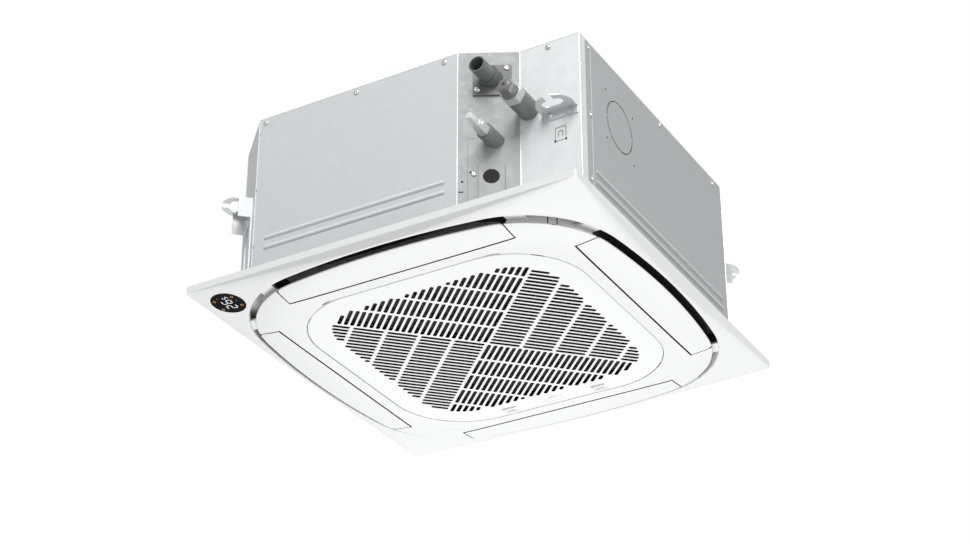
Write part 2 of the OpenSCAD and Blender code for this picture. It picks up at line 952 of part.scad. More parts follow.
module fan_nut() {
    color("silver") translate([0, 0, nut_top - nut_h]) difference() {
        cylinder(r = 2 * shaft_r, h = nut_h, $fn = nut_fn);
        translate([0, 0, -cut]) cylinder(r = shaft_r, h = nut_h + 2 * cut);
    }
}

// Condensate pump, standing in the trough between the two ends of the coil
module drain_pump() {
    color("black") translate([pump_at, -pump_at, 0]) {
        translate([0, 0, pump_z]) cylinder(r = pump_r, h = pump_h);
        for (a = [0, 120, 240]) rotate([0, 0, a]) translate([pump_leg_at, 0, coil_bottom])
            cylinder(r = pump_leg_r, h = pump_z + pump_leg_r - coil_bottom);
        difference() {
            translate([0, 0, impeller_z + impeller_h + gap])
                cylinder(r = pump_tube_r, h = pump_z - impeller_z - impeller_h - gap);
            translate([0, 0, impeller_z]) cylinder(r = spindle_r + fit, h = pump_z - impeller_z);
        }
    }
}

module pump_impeller() {
    color("white") translate([pump_at, -pump_at, 0]) {
        translate([0, 0, impeller_z]) cylinder(r = spindle_r, h = pump_z - gap - impeller_z);
        translate([0, 0, impeller_z]) cylinder(r = impeller_r, h = impeller_h / 4);
        for (a = [0 : 60 : 120]) rotate([0, 0, a]) translate([-impeller_r, -vane_t / 2, impeller_z])
            cube([2 * impeller_r, vane_t, impeller_h]);
    }
}

module float_switch() {
    color("black") {
        translate([float_x, -float_y, float_z]) cylinder(r = float_stem_r, h = pump_z - float_z);
        translate([float_x, -float_y, float_z]) cylinder(r = 2 * float_stem_r, h = float_arm_t / 2);
        translate([pump_at, -pump_at, pump_z - float_arm_t]) rotate([0, 0, float_turn])
            translate([pump_tube_r + gap, -float_arm_w / 2, 0]) cube([float_arm, float_arm_w, float_arm_t]);
    }
}

module float() {
    color("white") translate([float_x, -float_y, float_z + float_arm_t / 2 + gap]) difference() {
        cylinder(r = float_r, h = float_h);
        translate([0, 0, -cut]) cylinder(r = float_stem_r + fit, h = float_h + 2 * cut);
    }
}

module drain_hose() {
    x = plate_x(drain_s);
    end_y = plate_y(x) + pipe_inside;
    color("lightgray") {
        translate([pump_at, -pump_at, pump_z + pump_h]) cylinder(r = hose_r, h = drain_z - pump_z - pump_h);
        for (p = [[pump_at, -pump_at], [pump_at, -hose_y], [x, -hose_y]])
            translate([p.x, p.y, drain_z]) sphere(hose_r);
        along_y(pump_at, drain_z, -hose_y, -pump_at) circle(hose_r);
        translate([x, -hose_y, drain_z]) rotate([0, 90, 0]) cylinder(r = hose_r, h = pump_at - x);
        along_y(x, drain_z, end_y, -hose_y) circle(hose_r);
        along_y(x, drain_z, end_y - collar_in, end_y) circle(drain_r - drain_wall);
    }
}

module control_box() {
    color("silver") difference() {
        translate([-box_half, box_y0, box_z0]) cube([2 * box_half, box_y1 - box_y0, pan_top - box_z0]);
        translate([-box_half + sheet_t, box_y0 + sheet_t, box_z0 - cut])
            cube([2 * (box_half - sheet_t), box_y1 - box_y0 - 2 * sheet_t, pan_top - box_z0 - sheet_t + cut]);
    }
}

module control_lid() {
    color("silver") translate([-box_half, box_y0, box_z0 - sheet_t])
        cube([2 * box_half, box_y1 - box_y0, sheet_t]);
}

module circuit_board() {
    inset = 4 * sheet_t;
    z = pan_top - sheet_t - board_up;
    color("green") {
        translate([-box_half + inset, box_y0 + inset, z])
            cube([2 * (box_half - inset), box_y1 - box_y0 - 2 * inset, board_t]);
        for (sx = [-1, 1], y = [box_y0, box_y1 - 4 * inset])
            translate([sx * (box_half - 2 * inset), y + 2 * inset, z]) cylinder(r = inset / 2, h = board_up);
        translate([-box_half / 2, box_y0 + 2 * inset, z - 2 * inset]) cube([box_half / 3, 2 * inset, 2 * inset]);
        translate([box_half / 4, box_y0 + 2 * inset, z - 3 * inset]) cube([box_half / 5, 3 * inset, 3 * inset]);
    }
}

// Pipes at the front right corner, all along Y

module outside_piping_plate() {
    difference() {
        children();
        on_piping_plate(0, 0) translate([-recess_len, 0, 0]) cube([3 * recess_len, recess_len, casing_top]);
    }
}

module drain_flange() {
    x = plate_x(drain_s);
    color("dimgray") difference() {
        outside_piping_plate() {
            on_piping_plate(flange_s[0], flange_z[0]) translate([0, -flange_t, 0])
                cube([flange_s[1] - flange_s[0], flange_t, flange_z[1] - flange_z[0]]);
            along_y(x, drain_z, plate_y(x) - flange_collar, plate_y(x) + recess_len)
                circle(drain_r + flange_wall);
            for (z = [drain_z - drain_r - flange_wall, drain_z + drain_r])
                translate([x - flange_t / 2, plate_y(x) - flange_collar, z])
                    cube([flange_t, flange_collar, flange_wall]);
        }
        along_y(x, drain_z, -2 * casing_half, 0) circle(drain_seat_r);
    }
}

module drain_pipe() {
    x = plate_x(drain_s);
    seat = plate_y(x) - flange_collar;
    color("darkgray") difference() {
        union() {
            along_y(x, drain_z, -casing_half - drain_reach, plate_y(x)) circle(drain_r);
            along_y(x, drain_z, seat, plate_y(x) + pipe_inside) circle(drain_seat_r);
        }
        along_y(x, drain_z, -2 * casing_half, 0) circle(drain_r - drain_wall);
    }
}

module gas_pipe() {
    color("peru") along_y(gas_x, gas_z, step_y - gas_sleeve_len - nut_grip, -coil_end - gas_header_out - gas_r)
        circle(gas_r);
}

module gas_sleeve() {
    color("gray") along_y(gas_x, gas_z, step_y - gas_sleeve_len, step_y) difference() {
        circle(gas_sleeve_r);
        circle(gas_r);
    }
}

module flare_nut(x, z, y1, len, af, r, grip) {
    difference() {
        along_y(x, z, y1 - len, y1) circle(af / sqrt(3), $fn = nut_fn);
        along_y(x, z, y1 - grip, y1 + cut) circle(r);
    }
}

module gas_nut() {
    color("silver") flare_nut(gas_x, gas_z, step_y - gas_sleeve_len, gas_nut_len, gas_nut_af, gas_r, nut_grip);
}

module gas_cap() {
    y = step_y - gas_sleeve_len - gas_nut_len;
    color("silver") translate([gas_x, y, gas_z]) rotate([90, 0, 0]) difference() {
        cylinder(r1 = gas_nut_af / 2 - 1, r2 = gas_nut_af / 2 - 1 - cap_taper, h = gas_cap_len);
        translate([0, 0, gas_cap_len - cap_dimple]) cylinder(r = cap_dimple, h = 2 * cap_dimple);
    }
}

module liquid_pipe() {
    x = plate_x(liquid_s);
    color("peru") along_y(x, liquid_z, liquid_end_y - nut_grip, liquid_header_y - liquid_r - 1)
        circle(liquid_r);
}

module liquid_sleeve() {
    x = plate_x(liquid_s);
    color("gray") outside_piping_plate() along_y(x, liquid_z, liquid_end_y, step_y) difference() {
        circle(liquid_sleeve_r);
        circle(liquid_r);
    }
}

module liquid_nut() {
    color("silver") flare_nut(plate_x(liquid_s), liquid_z, liquid_end_y, liquid_nut_len, liquid_nut_af,
        liquid_r, nut_grip);
}

module liquid_cap() {
    y = liquid_end_y - liquid_nut_len;
    color("silver") translate([plate_x(liquid_s), y, liquid_z]) rotate([90, 0, 0]) {
        cylinder(r = liquid_cap_r, h = liquid_cap_len - liquid_cap_r);
        translate([0, 0, liquid_cap_len - liquid_cap_r]) sphere(liquid_cap_r);
    }
}

// Panel on the ceiling

module panel_gasket() {
    color("dimgray") slab(0, gasket_t) difference() {
        polygon(casing_outline(gasket_in));
        rounded_square(inlet_half, inlet_corner);
        vent_opening();
        at_corners(tab_at) circle(panel_screw_r);
    }
}

// Slope of the rim along the diagonal, and the height of the display's middle on it
rim_run = (panel_half - display_lip) * sqrt(2) - lip_w;
rim_slope = atan2(rim_drop - rim_edge, rim_run);
display_z = -rim_drop + (display_margin * sqrt(2) - lip_w) * tan(rim_slope);

module at_display() {
    translate([-display_at, -display_at, display_z]) rotate([0, 0, 45]) rotate([0, rim_slope, 0])
        children();
}

module panel_rim() {
    color("white") difference() {
        hull() {
            slab(-rim_edge, 0) rounded_square(panel_half, panel_corner, $fn = 32);
            slab(-rim_drop, -rim_drop + skin) polygon(bowed(-lip_w));
        }
        slab(-rim_drop - cut, cut) polygon(bowed(0));
        slab(-lip_top, cut) polygon(bowed(-duct_wall - gap));
        for (a = [0 : 90 : 270]) rotate([0, 0, a]) corner_cavity();
        at_display() translate([0, 0, -2 * display_t]) cylinder(r = display_r, h = 2 * display_t + display_set);
    }
}

module corner_cavity() {
    difference() {
        intersection() {
            hull() {
                slab(-rim_edge + wall, cut) rounded_square(panel_half - wall, panel_corner - wall / 2, $fn = 32);
                slab(-rim_drop + wall, -rim_drop + wall + skin) polygon(bowed(-lip_w - wall));
            }
            translate([cavity_from, cavity_from, -rim_drop]) cube([panel_half, panel_half, 2 * rim_drop]);
        }
        slab(-2 * rim_drop, rim_drop) polygon(bowed(-duct_wall - gap - wall));
        rotate([0, 0, 45]) translate([0, -wall / 2, -rim_drop]) cube([2 * panel_half, wall, 2 * rim_drop]);
    }
}

module display_window() {
    color("black") at_display() translate([0, 0, display_set - display_t]) cylinder(r = display_r, h = display_t);
}

module grille_plan(half = grille_half, r = grille_corner) {
    rounded_square(half, r);
}

module grille_hole_plan() {
    grille_plan(grille_half + grille_gap, grille_corner + grille_gap);
}

// Section of the curved band, at the given distance from its centre of turning to its start
module dome_section(from) {
    intersection() {
        translate([from, -panel_drop + dome_r]) difference() {
            circle(dome_r, $fn = round_fn);
            circle(dome_r - wall, $fn = round_fn);
        }
        translate([from, -panel_drop]) square([dome_w, dome_rise + wall]);
    }
}

module panel_frame() {
    color("white") {
        difference() {
            union() {
                slab(-panel_drop, -frame_top) {
                    square([2 * bow_centre, 2 * frame_edge], center = true);
                    square([2 * frame_edge, 2 * bow_centre], center = true);
                }
                for (a = [0 : 90 : 270]) rotate([0, 0, a]) translate([bow_centre, bow_centre, 0])
                    rotate_extrude(angle = 90) {
                        translate([0, -panel_drop]) square([dome_from, wall]);
                        dome_section(dome_from);
                        translate([dome_to - wall, -skirt_z]) square([wall, skirt_z - wall / 2]);
                    }
            }
            slab(-panel_drop - cut, -frame_top + cut) {
                grille_hole_plan();
                intersection() {
                    translate([0, -hinge_relief]) grille_hole_plan();
                    translate([-relief_half, -grille_half - grille_gap]) square([2 * relief_half, grille_corner]);
                }
            }
            for (a = [0 : 90 : 270]) rotate([0, 0, a]) {
                translate([-window_half, frame_edge, -panel_drop - cut])
                    cube([2 * window_half, panel_half, panel_drop + 2 * cut]);
                translate([-duct_half - gap, duct_in - gap, -duct_end_z - gap])
                    cube([2 * (duct_half + gap), panel_half, panel_drop]);
            }
        }
        slab(-frame_top, -wall / 2) difference() {
            grille_plan(intake_in + intake_wall, grille_corner + intake_in - grille_half + intake_wall);
            grille_plan(intake_in, grille_corner + intake_in - grille_half);
        }
        slab(-wall, 0) difference() {
            union() {
                difference() {
                    polygon(bowed(-duct_wall));
                    grille_plan(intake_in, grille_corner + intake_in - grille_half);
                }
                for (a = [45 : 90 : 315]) rotate(a) translate([tab_at * sqrt(2), 0]) {
                    circle(tab_r);
                    translate([0, -tab_r]) square([2 * tab_r + wall, 2 * tab_r]);
                }
            }
            for (a = [0 : 90 : 270]) rotate(a) translate([-duct_half - gap, duct_in - gap])
                square([2 * (duct_half + gap), panel_half]);
            at_corners(tab_at) circle(panel_screw_r);
        }
        for (a = [0 : 90 : 270], m = [0, 1]) rotate([0, 0, a]) mirror([m, 0, 0]) bridge();
        for (m = [0, 1]) mirror([m, 0, 0]) grille_lug();
    }
}

// The web that closes the outlet ring beside each corner
module bridge() {
    slab(-lip_top, -lip_top + bridge_t) intersection() {
        difference() {
            polygon(bowed(-duct_wall));
            translate([bow_centre, bow_centre]) circle(dome_to - wall / 2);
        }
        translate([duct_half + gap, bow_centre]) square([bridge_to - duct_half - gap, panel_half]);
    }
}

module grille_lug() {
    x = barrel_x + barrel_len / 2 + gap;
    y = -grille_half + hinge_in;
    z = -panel_drop + hinge_up;
    color("white") {
        translate([x, y, z]) rotate([0, 90, 0]) cylinder(r = lug_tip_r, h = lug_side);
        translate([x, y - lug_tip_r, z]) cube([lug_side, 2 * lug_tip_r, lug_rise]);
        translate([x, -intake_in - intake_wall / 2, z + lug_rise - 2 * lug_tip_r])
            cube([lug_side, intake_in + intake_wall / 2 + y, 2 * lug_tip_r]);
        translate([x - pin_len, y, z]) rotate([0, 90, 0]) cylinder(r = hinge_pin, h = pin_len + lug_side / 2);
    }
}

// Outlet ducts and louvres, drawn for the +Y side

module turned_to(side) {
    rotate([0, 0, side]) children();
}

module duct_plan() {
    intersection() {
        polygon(bowed(-duct_wall));
        translate([-duct_half, duct_in]) square([2 * duct_half, panel_half]);
    }
}

module outlet_duct(side) {
    color("dimgray") turned_to(side) {
        slab(-duct_roof, 0) difference() {
            duct_plan();
            translate([-vent_half, vent_in]) square([2 * vent_half, vent_out - vent_in]);
        }
        slab(-lip_top, -duct_roof / 2) difference() {
            duct_plan();
            polygon(bowed(-duct_wall + duct_skin));
        }
        difference() {
            slab(-duct_end_z, -duct_roof / 2) difference() {
                duct_plan();
                square([2 * (duct_half - duct_wall), panel_size], center = true);
            }
            translate([duct_half - duct_wall - cut, pin_at + motor_out, -motor_down])
                rotate([0, 90, 0]) cylinder(r = spindle_r + fit, h = duct_wall + 2 * cut);
        }
        for (s = [-1, 1]) translate([s * ear_x, 0, 0]) duct_ear();
        translate([-bow_centre, duct_in, -frame_top])
            cube([2 * bow_centre, duct_wall, frame_top - duct_roof / 2]);
        translate([-duct_half, duct_in, -frame_top + duct_step])
            cube([2 * duct_half, duct_wall, frame_top - duct_step - duct_roof / 2]);
    }
}

// A bracket that carries one louvre pin
module duct_ear() {
    translate([-ear_t / 2, 0, 0]) difference() {
        union() {
            translate([0, pin_at, pin_z]) rotate([0, 90, 0]) cylinder(r = ear_r, h = ear_t);
            translate([0, pin_at - ear_r, pin_z]) cube([ear_t, 2 * ear_r, ear_rise]);
            translate([0, duct_in + duct_wall / 2, pin_z + ear_rise - ear_arm])
                cube([ear_t, pin_at + ear_r - duct_in - duct_wall / 2, ear_arm]);
        }
        translate([-cut, pin_at, pin_z]) rotate([0, 90, 0]) cylinder(r = pin_r + fit, h = ear_t + 2 * cut);
    }
}

module duct_front() { outlet_duct(180); }
module duct_right() { outlet_duct(-90); }
module duct_back() { outlet_duct(0); }
module duct_left() { outlet_duct(90); }

module louvre_plan() {
    translate([-louvre_half, louvre_in]) square([2 * louvre_half, end_y - louvre_in]);
    translate([end_round - louvre_half, louvre_in])
        square([2 * (louvre_half - end_round), panel_half - louvre_in]);
    for (s = [-1, 1]) translate([s * (louvre_half - end_round), end_y]) circle(end_round);
}

module louvre_section(from) {
    dome_section(from);
    translate([from + rib_in, -panel_drop + rib_up]) square([rib_t, louvre_rib_h]);
}

module louvre_skin() {
    translate([0, island_half - louvre_bow_r, 0]) rotate([0, 0, 90 - louvre_tilt])
        rotate_extrude(angle = 2 * louvre_tilt, $fn = bow_fn) louvre_section(louvre_bow_r - dome_w);
}

module louvre(side) {
    color("white") turned_to(side) {
        intersection() {
            louvre_skin();
            slab(-panel_drop - cut, 0) louvre_plan();
        }
        for (s = [-1, 1]) {
            translate([s * (ear_x + ear_t / 2 + gap + boss_len / 2), 0, 0]) louvre_boss();
            translate([s * (ear_x - ear_t / 2), pin_at, pin_z]) rotate([0, s * 90, 0])
                cylinder(r = pin_r, h = ear_t + gap + boss_len / 2);
        }
    }
}

module louvre_boss() {
    translate([-boss_len / 2, 0, 0]) {
        translate([0, pin_at, pin_z]) rotate([0, 90, 0]) cylinder(r = boss_r, h = boss_len);
        translate([0, pin_at - boss_r, -frame_top - wall / 2])
            cube([boss_len, 2 * boss_r, pin_up - wall / 2]);
    }
}

module louvre_front() { louvre(180); }
module louvre_right() { louvre(-90); }
module louvre_back() { louvre(0); }
module louvre_left() { louvre(90); }

module louvre_motors() {
    color("silver") for (a = [0 : 90 : 270]) rotate([0, 0, a])
        translate([duct_half, pin_at + motor_out, -motor_down]) rotate([0, 90, 0]) {
            cylinder(r = motor_body_r, h = motor_body_len);
            translate([0, 0, -duct_wall - cut]) cylinder(r = spindle_r, h = duct_wall + 2 * cut);
        }
}

// Intake grille

// Where a row of slots ends, for a row at distance a from the diagonal
slots_reach = (slots_half - slots_corner) * sqrt(2);
slots_bend = slots_corner / sqrt(2);
function slot_limit(a) = a < slots_bend ? slots_reach + sqrt(slots_corner * slots_corner - a * a)
    : a < slots_reach + slots_bend ? slots_half * sqrt(2) - a
    : a < slots_reach + slots_corner ? sqrt(slots_corner * slots_corner - (a - slots_reach) * (a - slots_reach))
    : 0;

module slot(v0, v1, a) {
    polygon([
        [v0 + slot_corner, -a - slot_w / 2], [v1 - slot_corner, -a - slot_w / 2],
        [v1, -a - slot_w / 2 + slot_corner], [v1, -a + slot_w / 2 - slot_corner],
        [v1 - slot_corner, -a + slot_w / 2], [v0 + slot_corner, -a + slot_w / 2],
        [v0, -a + slot_w / 2 - slot_corner], [v0, -a - slot_w / 2 + slot_corner]
    ]);
}

module slots() {
    rows = floor((slots_reach + slots_corner) / slot_pitch);
    for (q = [0 : 90 : 270]) rotate(q - 45) for (k = [0 : rows - 1]) {
        a = (k + 0.5) * slot_pitch;
        end = slot_limit(a + slot_w / 2);
        for (v0 = [slot_start : slot_len + slot_bar : end - shortest_slot])
            slot(v0, min(v0 + slot_len, end), a);
    }
}

module latch_window() {
    translate([-latch_w / 2, latch_y - latch_d / 2]) square([latch_w, latch_d]);
}

module at_latches() {
    for (s = [-1, 1]) translate([s * latch_x, 0, 0]) children();
}

module intake_grille() {
    z = -panel_drop;
    hinge_z = z + hinge_up;
    hinge_y = -grille_half + hinge_in;
    color("white") difference() {
        union() {
            difference() {
                slab(z, -frame_top) difference() {
                    grille_plan();
                    slots();
                    at_latches() latch_window();
                }
                slab(z - cut, z + edge_cut_h) difference() {
                    grille_plan(grille_half + cut, grille_corner + cut);
                    grille_plan(grille_half - edge_cut, grille_corner - edge_cut);
                }
            }
            for (s = [-1, 1]) translate([s * barrel_x - barrel_len / 2, hinge_y, hinge_z]) rotate([0, 90, 0])
                cylinder(r = barrel_r, h = barrel_len);
            slab(-frame_top, -frame_top + back_rib_h) {
                difference() {
                    union() {
                        for (a = [45, 135]) rotate(a)
                            square([2 * (slots_reach + slots_corner), back_rib_w], center = true);
                        difference() {
                            grille_plan(ring_rib, slots_corner + ring_rib - slots_half);
                            grille_plan(ring_rib - back_rib_w, slots_corner + ring_rib - slots_half - back_rib_w);
                        }
                    }
                    at_latches() translate([-latch_w, latch_y - latch_d]) square([2 * latch_w, 2 * latch_d]);
                }
            }
            slab(-frame_top, -frame_top + filter_up) for (a = [45 : 90 : 315], share = [0.4, 0.9])
                rotate(a) translate([share * slots_reach, 0]) circle(post_r);
            for (a = [0 : 90 : 270]) rotate([0, 0, a]) filter_clip();
            at_latches() latch_rails();
        }
        for (s = [-1, 1]) {
            translate([s * barrel_x - barrel_len, hinge_y, hinge_z]) rotate([0, 90, 0])
                cylinder(r = hinge_bore, h = 2 * barrel_len);
            translate([s * (barrel_x + barrel_len / 2 + gap + lug_side / 2) - lug_side / 2 - gap,
                -grille_half - cut, z + notch_deep])
                cube([lug_side + 2 * gap, hinge_in + notch_w + cut, filter_up + back_rib_h]);
        }
        translate([-cover_w / 2 - cover_gap, latch_y - cover_d / 2 - cover_gap, z - cut])
            cube([cover_w + 2 * cover_gap, cover_d + 2 * cover_gap, cover_t + cut]);
    }
}

module filter_clip() {
    y = filter_half + gap;
    top = -frame_top + filter_up + filter_t + gap;
    translate([-clip_w / 2, y, -frame_top - wall / 2]) cube([clip_w, clip_t, top + frame_top + wall / 2]);
    translate([-clip_w / 2, y - clip_t, top]) cube([clip_w, 2 * clip_t, clip_t / 2]);
}

module latch_rails() {
    half = latch_w / 2 + slider_side + gap;
    length = slider_shoulder - slider_from;
    top = -frame_top + slider_up + slider_t + gap;
    for (s = [-1, 1]) {
        translate([s * (half + rail_w / 2) - rail_w / 2, slider_from, -frame_top - wall / 2])
            cube([rail_w, length, top + frame_top + wall / 2 + rail_lip]);
        translate([s * (half + rail_w / 2 - lip_in) - rail_w / 2, slider_from, top])
            cube([rail_w, length, rail_lip]);
    }
}

module latch(s) {
    z = -frame_top + slider_up;
    half = latch_w / 2 + slider_side;
    pad_y1 = latch_y + latch_d / 2 - gap;
    pad_len = latch_d - 2 * gap - latch_travel;
    color("white") translate([s * latch_x, 0, 0]) difference() {
        union() {
            translate([-half, slider_from, z]) cube([2 * half, slider_shoulder - slider_from, slider_t]);
            translate([-tongue_w / 2, slider_shoulder - wall, z])
                cube([tongue_w, intake_in - gap - slider_shoulder + wall, slider_t]);
            translate([-latch_w / 2 + gap, pad_y1 - pad_len, z - pad_proud])
                cube([latch_w - 2 * gap, pad_len, pad_proud + slider_t / 2]);
        }
        slab(z - pad_proud - cut, z - pad_proud + finger_deep) translate([0, pad_y1 - pad_len / 2]) {
            square([finger_w - finger_d, finger_d], center = true);
            for (e = [-1, 1]) translate([e * (finger_w - finger_d) / 2, 0]) circle(finger_d / 2);
        }
    }
}

module latch_left() { latch(-1); }
module latch_right() { latch(1); }

module centre_cover() {
    color("white") difference() {
        translate([-cover_w / 2, latch_y - cover_d / 2, -panel_drop]) cube([cover_w, cover_d, cover_t]);
        translate([-cover_w / 4, latch_y - cover_d / 2 - cut, -panel_drop - cut])
            cube([cover_w / 2, cover_t + cut, cut + cover_t / 2]);
    }
}

module filter() {
    z = -frame_top + filter_up;
    color("lightgray") {
        slab(z, z + filter_t) {
            difference() {
                grille_plan(filter_half, filter_corner);
                grille_plan(filter_half - filter_w, filter_corner - filter_w);
            }
            for (x = [-0.5, 0, 0.5]) {
                translate([x * filter_half, 0]) square([filter_w / 2, 2 * (filter_half - filter_w / 2)], center = true);
                translate([0, x * filter_half]) square([2 * (filter_half - filter_w / 2), filter_w / 2], center = true);
            }
        }
        slab(z + filter_t / 2 - mesh_t / 2, z + filter_t / 2 + mesh_t / 2)
            grille_plan(filter_half - filter_w / 2, filter_corner - filter_w / 2);
    }
}

module panel_screws() {
    color("silver") at_corners(tab_at) {
        translate([0, 0, -wall - screw_head_h]) cylinder(r = screw_head_r, h = screw_head_h);
        translate([0, 0, -wall - screw_head_h / 2]) cylinder(r = panel_screw_r, h = wall + gasket_t + pilot_h);
    }
}

top_plate();
front_panel();
left_panel();
back_panel();
right_panel();
corner_plates();
piping_plate();
wiring_plate();
wiring_cover();
wiring_knockout();
inspection_plate();
hanger_lugs();
casing_screws();
foam_liner();
fan_motor();
motor_bushes();
motor_shaft();
fan_wheel();
fan_nut();
coil_fins();
coil_tubes();
drain_pan();
bell_mouth();
drain_pump();
pump_impeller();
float_switch();
float();
drain_hose();
drain_flange();
drain_pipe();
gas_pipe();
gas_sleeve();
gas_nut();
gas_cap();
liquid_pipe();
liquid_sleeve();
liquid_nut();
liquid_cap();
control_box();
control_lid();
circuit_board();
panel_gasket();
panel_rim();
panel_frame();
duct_front();
duct_right();
duct_back();
duct_left();
louvre_front();
louvre_right();
louvre_back();
louvre_left();
louvre_motors();
intake_grille();
filter();
latch_left();
latch_right();
centre_cover();
display_window();
panel_screws();
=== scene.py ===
"""Looks of a compact four-way ceiling cassette air conditioner, hung in the open under soft light."""

import math

import bmesh
import bpy
import numpy as np
from mathutils import Matrix, Vector


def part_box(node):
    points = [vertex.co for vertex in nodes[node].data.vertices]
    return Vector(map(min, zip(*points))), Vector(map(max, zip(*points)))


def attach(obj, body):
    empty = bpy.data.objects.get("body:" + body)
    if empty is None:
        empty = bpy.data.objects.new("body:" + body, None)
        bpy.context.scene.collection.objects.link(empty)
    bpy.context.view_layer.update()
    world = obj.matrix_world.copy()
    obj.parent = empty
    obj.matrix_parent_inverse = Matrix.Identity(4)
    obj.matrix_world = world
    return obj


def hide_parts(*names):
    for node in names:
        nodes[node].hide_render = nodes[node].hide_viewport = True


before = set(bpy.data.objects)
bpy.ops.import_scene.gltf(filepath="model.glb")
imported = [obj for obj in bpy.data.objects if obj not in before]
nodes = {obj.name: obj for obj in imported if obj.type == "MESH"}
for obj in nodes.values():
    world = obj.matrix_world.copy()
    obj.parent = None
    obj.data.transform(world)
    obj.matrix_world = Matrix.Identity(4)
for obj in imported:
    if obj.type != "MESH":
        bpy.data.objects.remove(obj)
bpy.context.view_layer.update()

MM = 0.001


# Node helpers

FLOAT, COLOUR, VECTOR = "NodeSocketFloat", "NodeSocketColor", "NodeSocketVector"
FINISH_OUTPUTS = [(COLOUR, "Colour"), (FLOAT, "Roughness"), (FLOAT, "Height")]


def new_group(name, inputs, outputs):
    """An empty shader group with named inputs (kind, name, value) and outputs (kind, name)."""
    g = bpy.data.node_groups.new(name, "ShaderNodeTree")
    for kind, label, value in inputs:
        g.interface.new_socket(name=label, in_out="INPUT", socket_type=kind).default_value = value
    for kind, label in outputs:
        g.interface.new_socket(name=label, in_out="OUTPUT", socket_type=kind)
    return g, g.nodes.new("NodeGroupInput"), g.nodes.new("NodeGroupOutput")


def add(tree, kind, **values):
    """A new node. Each value goes to the input of that name, for in0, in1 and so on to the input of that
    number, or else to the node's own setting."""
    n = tree.nodes.new(kind)
    for key, value in values.items():
        if key.startswith("in") and key[2:].isdigit():
            n.inputs[int(key[2:])].default_value = value
        elif key in n.inputs:
            n.inputs[key].default_value = value
        else:
            setattr(n, key, value)
    return n


def object_coordinates(tree):
    """The socket of Object coordinates, which move with a piece."""
    return tree.nodes.new("ShaderNodeTexCoord").outputs["Object"]


def texture(tree, kind, at, **values):
    """A texture node that reads its place from the socket at."""
    n = add(tree, kind, **values)
    tree.links.new(at, n.inputs["Vector"])
    return n


def math_node(tree, operation, *values):
    """The output of a math node whose inputs are sockets or numbers."""
    n = add(tree, "ShaderNodeMath", operation=operation)
    for socket, value in zip(n.inputs, values):
        if isinstance(value, (int, float)):
            socket.default_value = value
        else:
            tree.links.new(value, socket)
    return n.outputs[0]


def map_range(tree, value, low, high, to_low, to_high):
    """A socket's value carried from low .. high to to_low .. to_high, and held at the ends."""
    n = add(tree, "ShaderNodeMapRange", in1=low, in2=high, in3=to_low, in4=to_high)
    tree.links.new(value, n.inputs["Value"])
    return n.outputs[0]


def scaled(tree, colour, amount):
    """A colour socket times a number socket."""
    n = add(tree, "ShaderNodeVectorMath", operation="SCALE")
    tree.links.new(colour, n.inputs[0])
    tree.links.new(amount, n.inputs["Scale"])
    return n.outputs[0]


def varied(tree, colour, value, middle, amount):
    """A colour socket times 1 + (value - middle) * amount."""
    change = math_node(tree, "MULTIPLY", math_node(tree, "SUBTRACT", value, middle), amount)
    return scaled(tree, colour, math_node(tree, "ADD", change, 1.0))


# Shared groups

def make_moulded_grain():
    """Moulded plastic: a fine leathery grain for the bump, and a slow drift of tone where the melt flowed."""
    g, gin, gout = new_group(
        "moulded_grain",
        [(COLOUR, "Tone", (0.8, 0.8, 0.8, 1)), (FLOAT, "Grain size", 900.0), (FLOAT, "Drift", 0.03),
         (FLOAT, "Gloss", 0.4)],
        FINISH_OUTPUTS,
    )
    link = g.links.new
    co = object_coordinates(g)
    slow = texture(g, "ShaderNodeTexNoise", co, Scale=9.0, Detail=3.0)
    link(varied(g, gin.outputs["Tone"], slow.outputs["Fac"], 0.5, gin.outputs["Drift"]), gout.inputs["Colour"])
    fine = texture(g, "ShaderNodeTexVoronoi", co, feature="SMOOTH_F1", Smoothness=0.6)
    link(gin.outputs["Grain size"], fine.inputs["Scale"])
    speck = map_range(g, fine.outputs["Distance"], 0.0, 1.0, -0.05, 0.05)
    link(math_node(g, "ADD", speck, gin.outputs["Gloss"]), gout.inputs["Roughness"])
    link(fine.outputs["Distance"], gout.inputs["Height"])
    return g


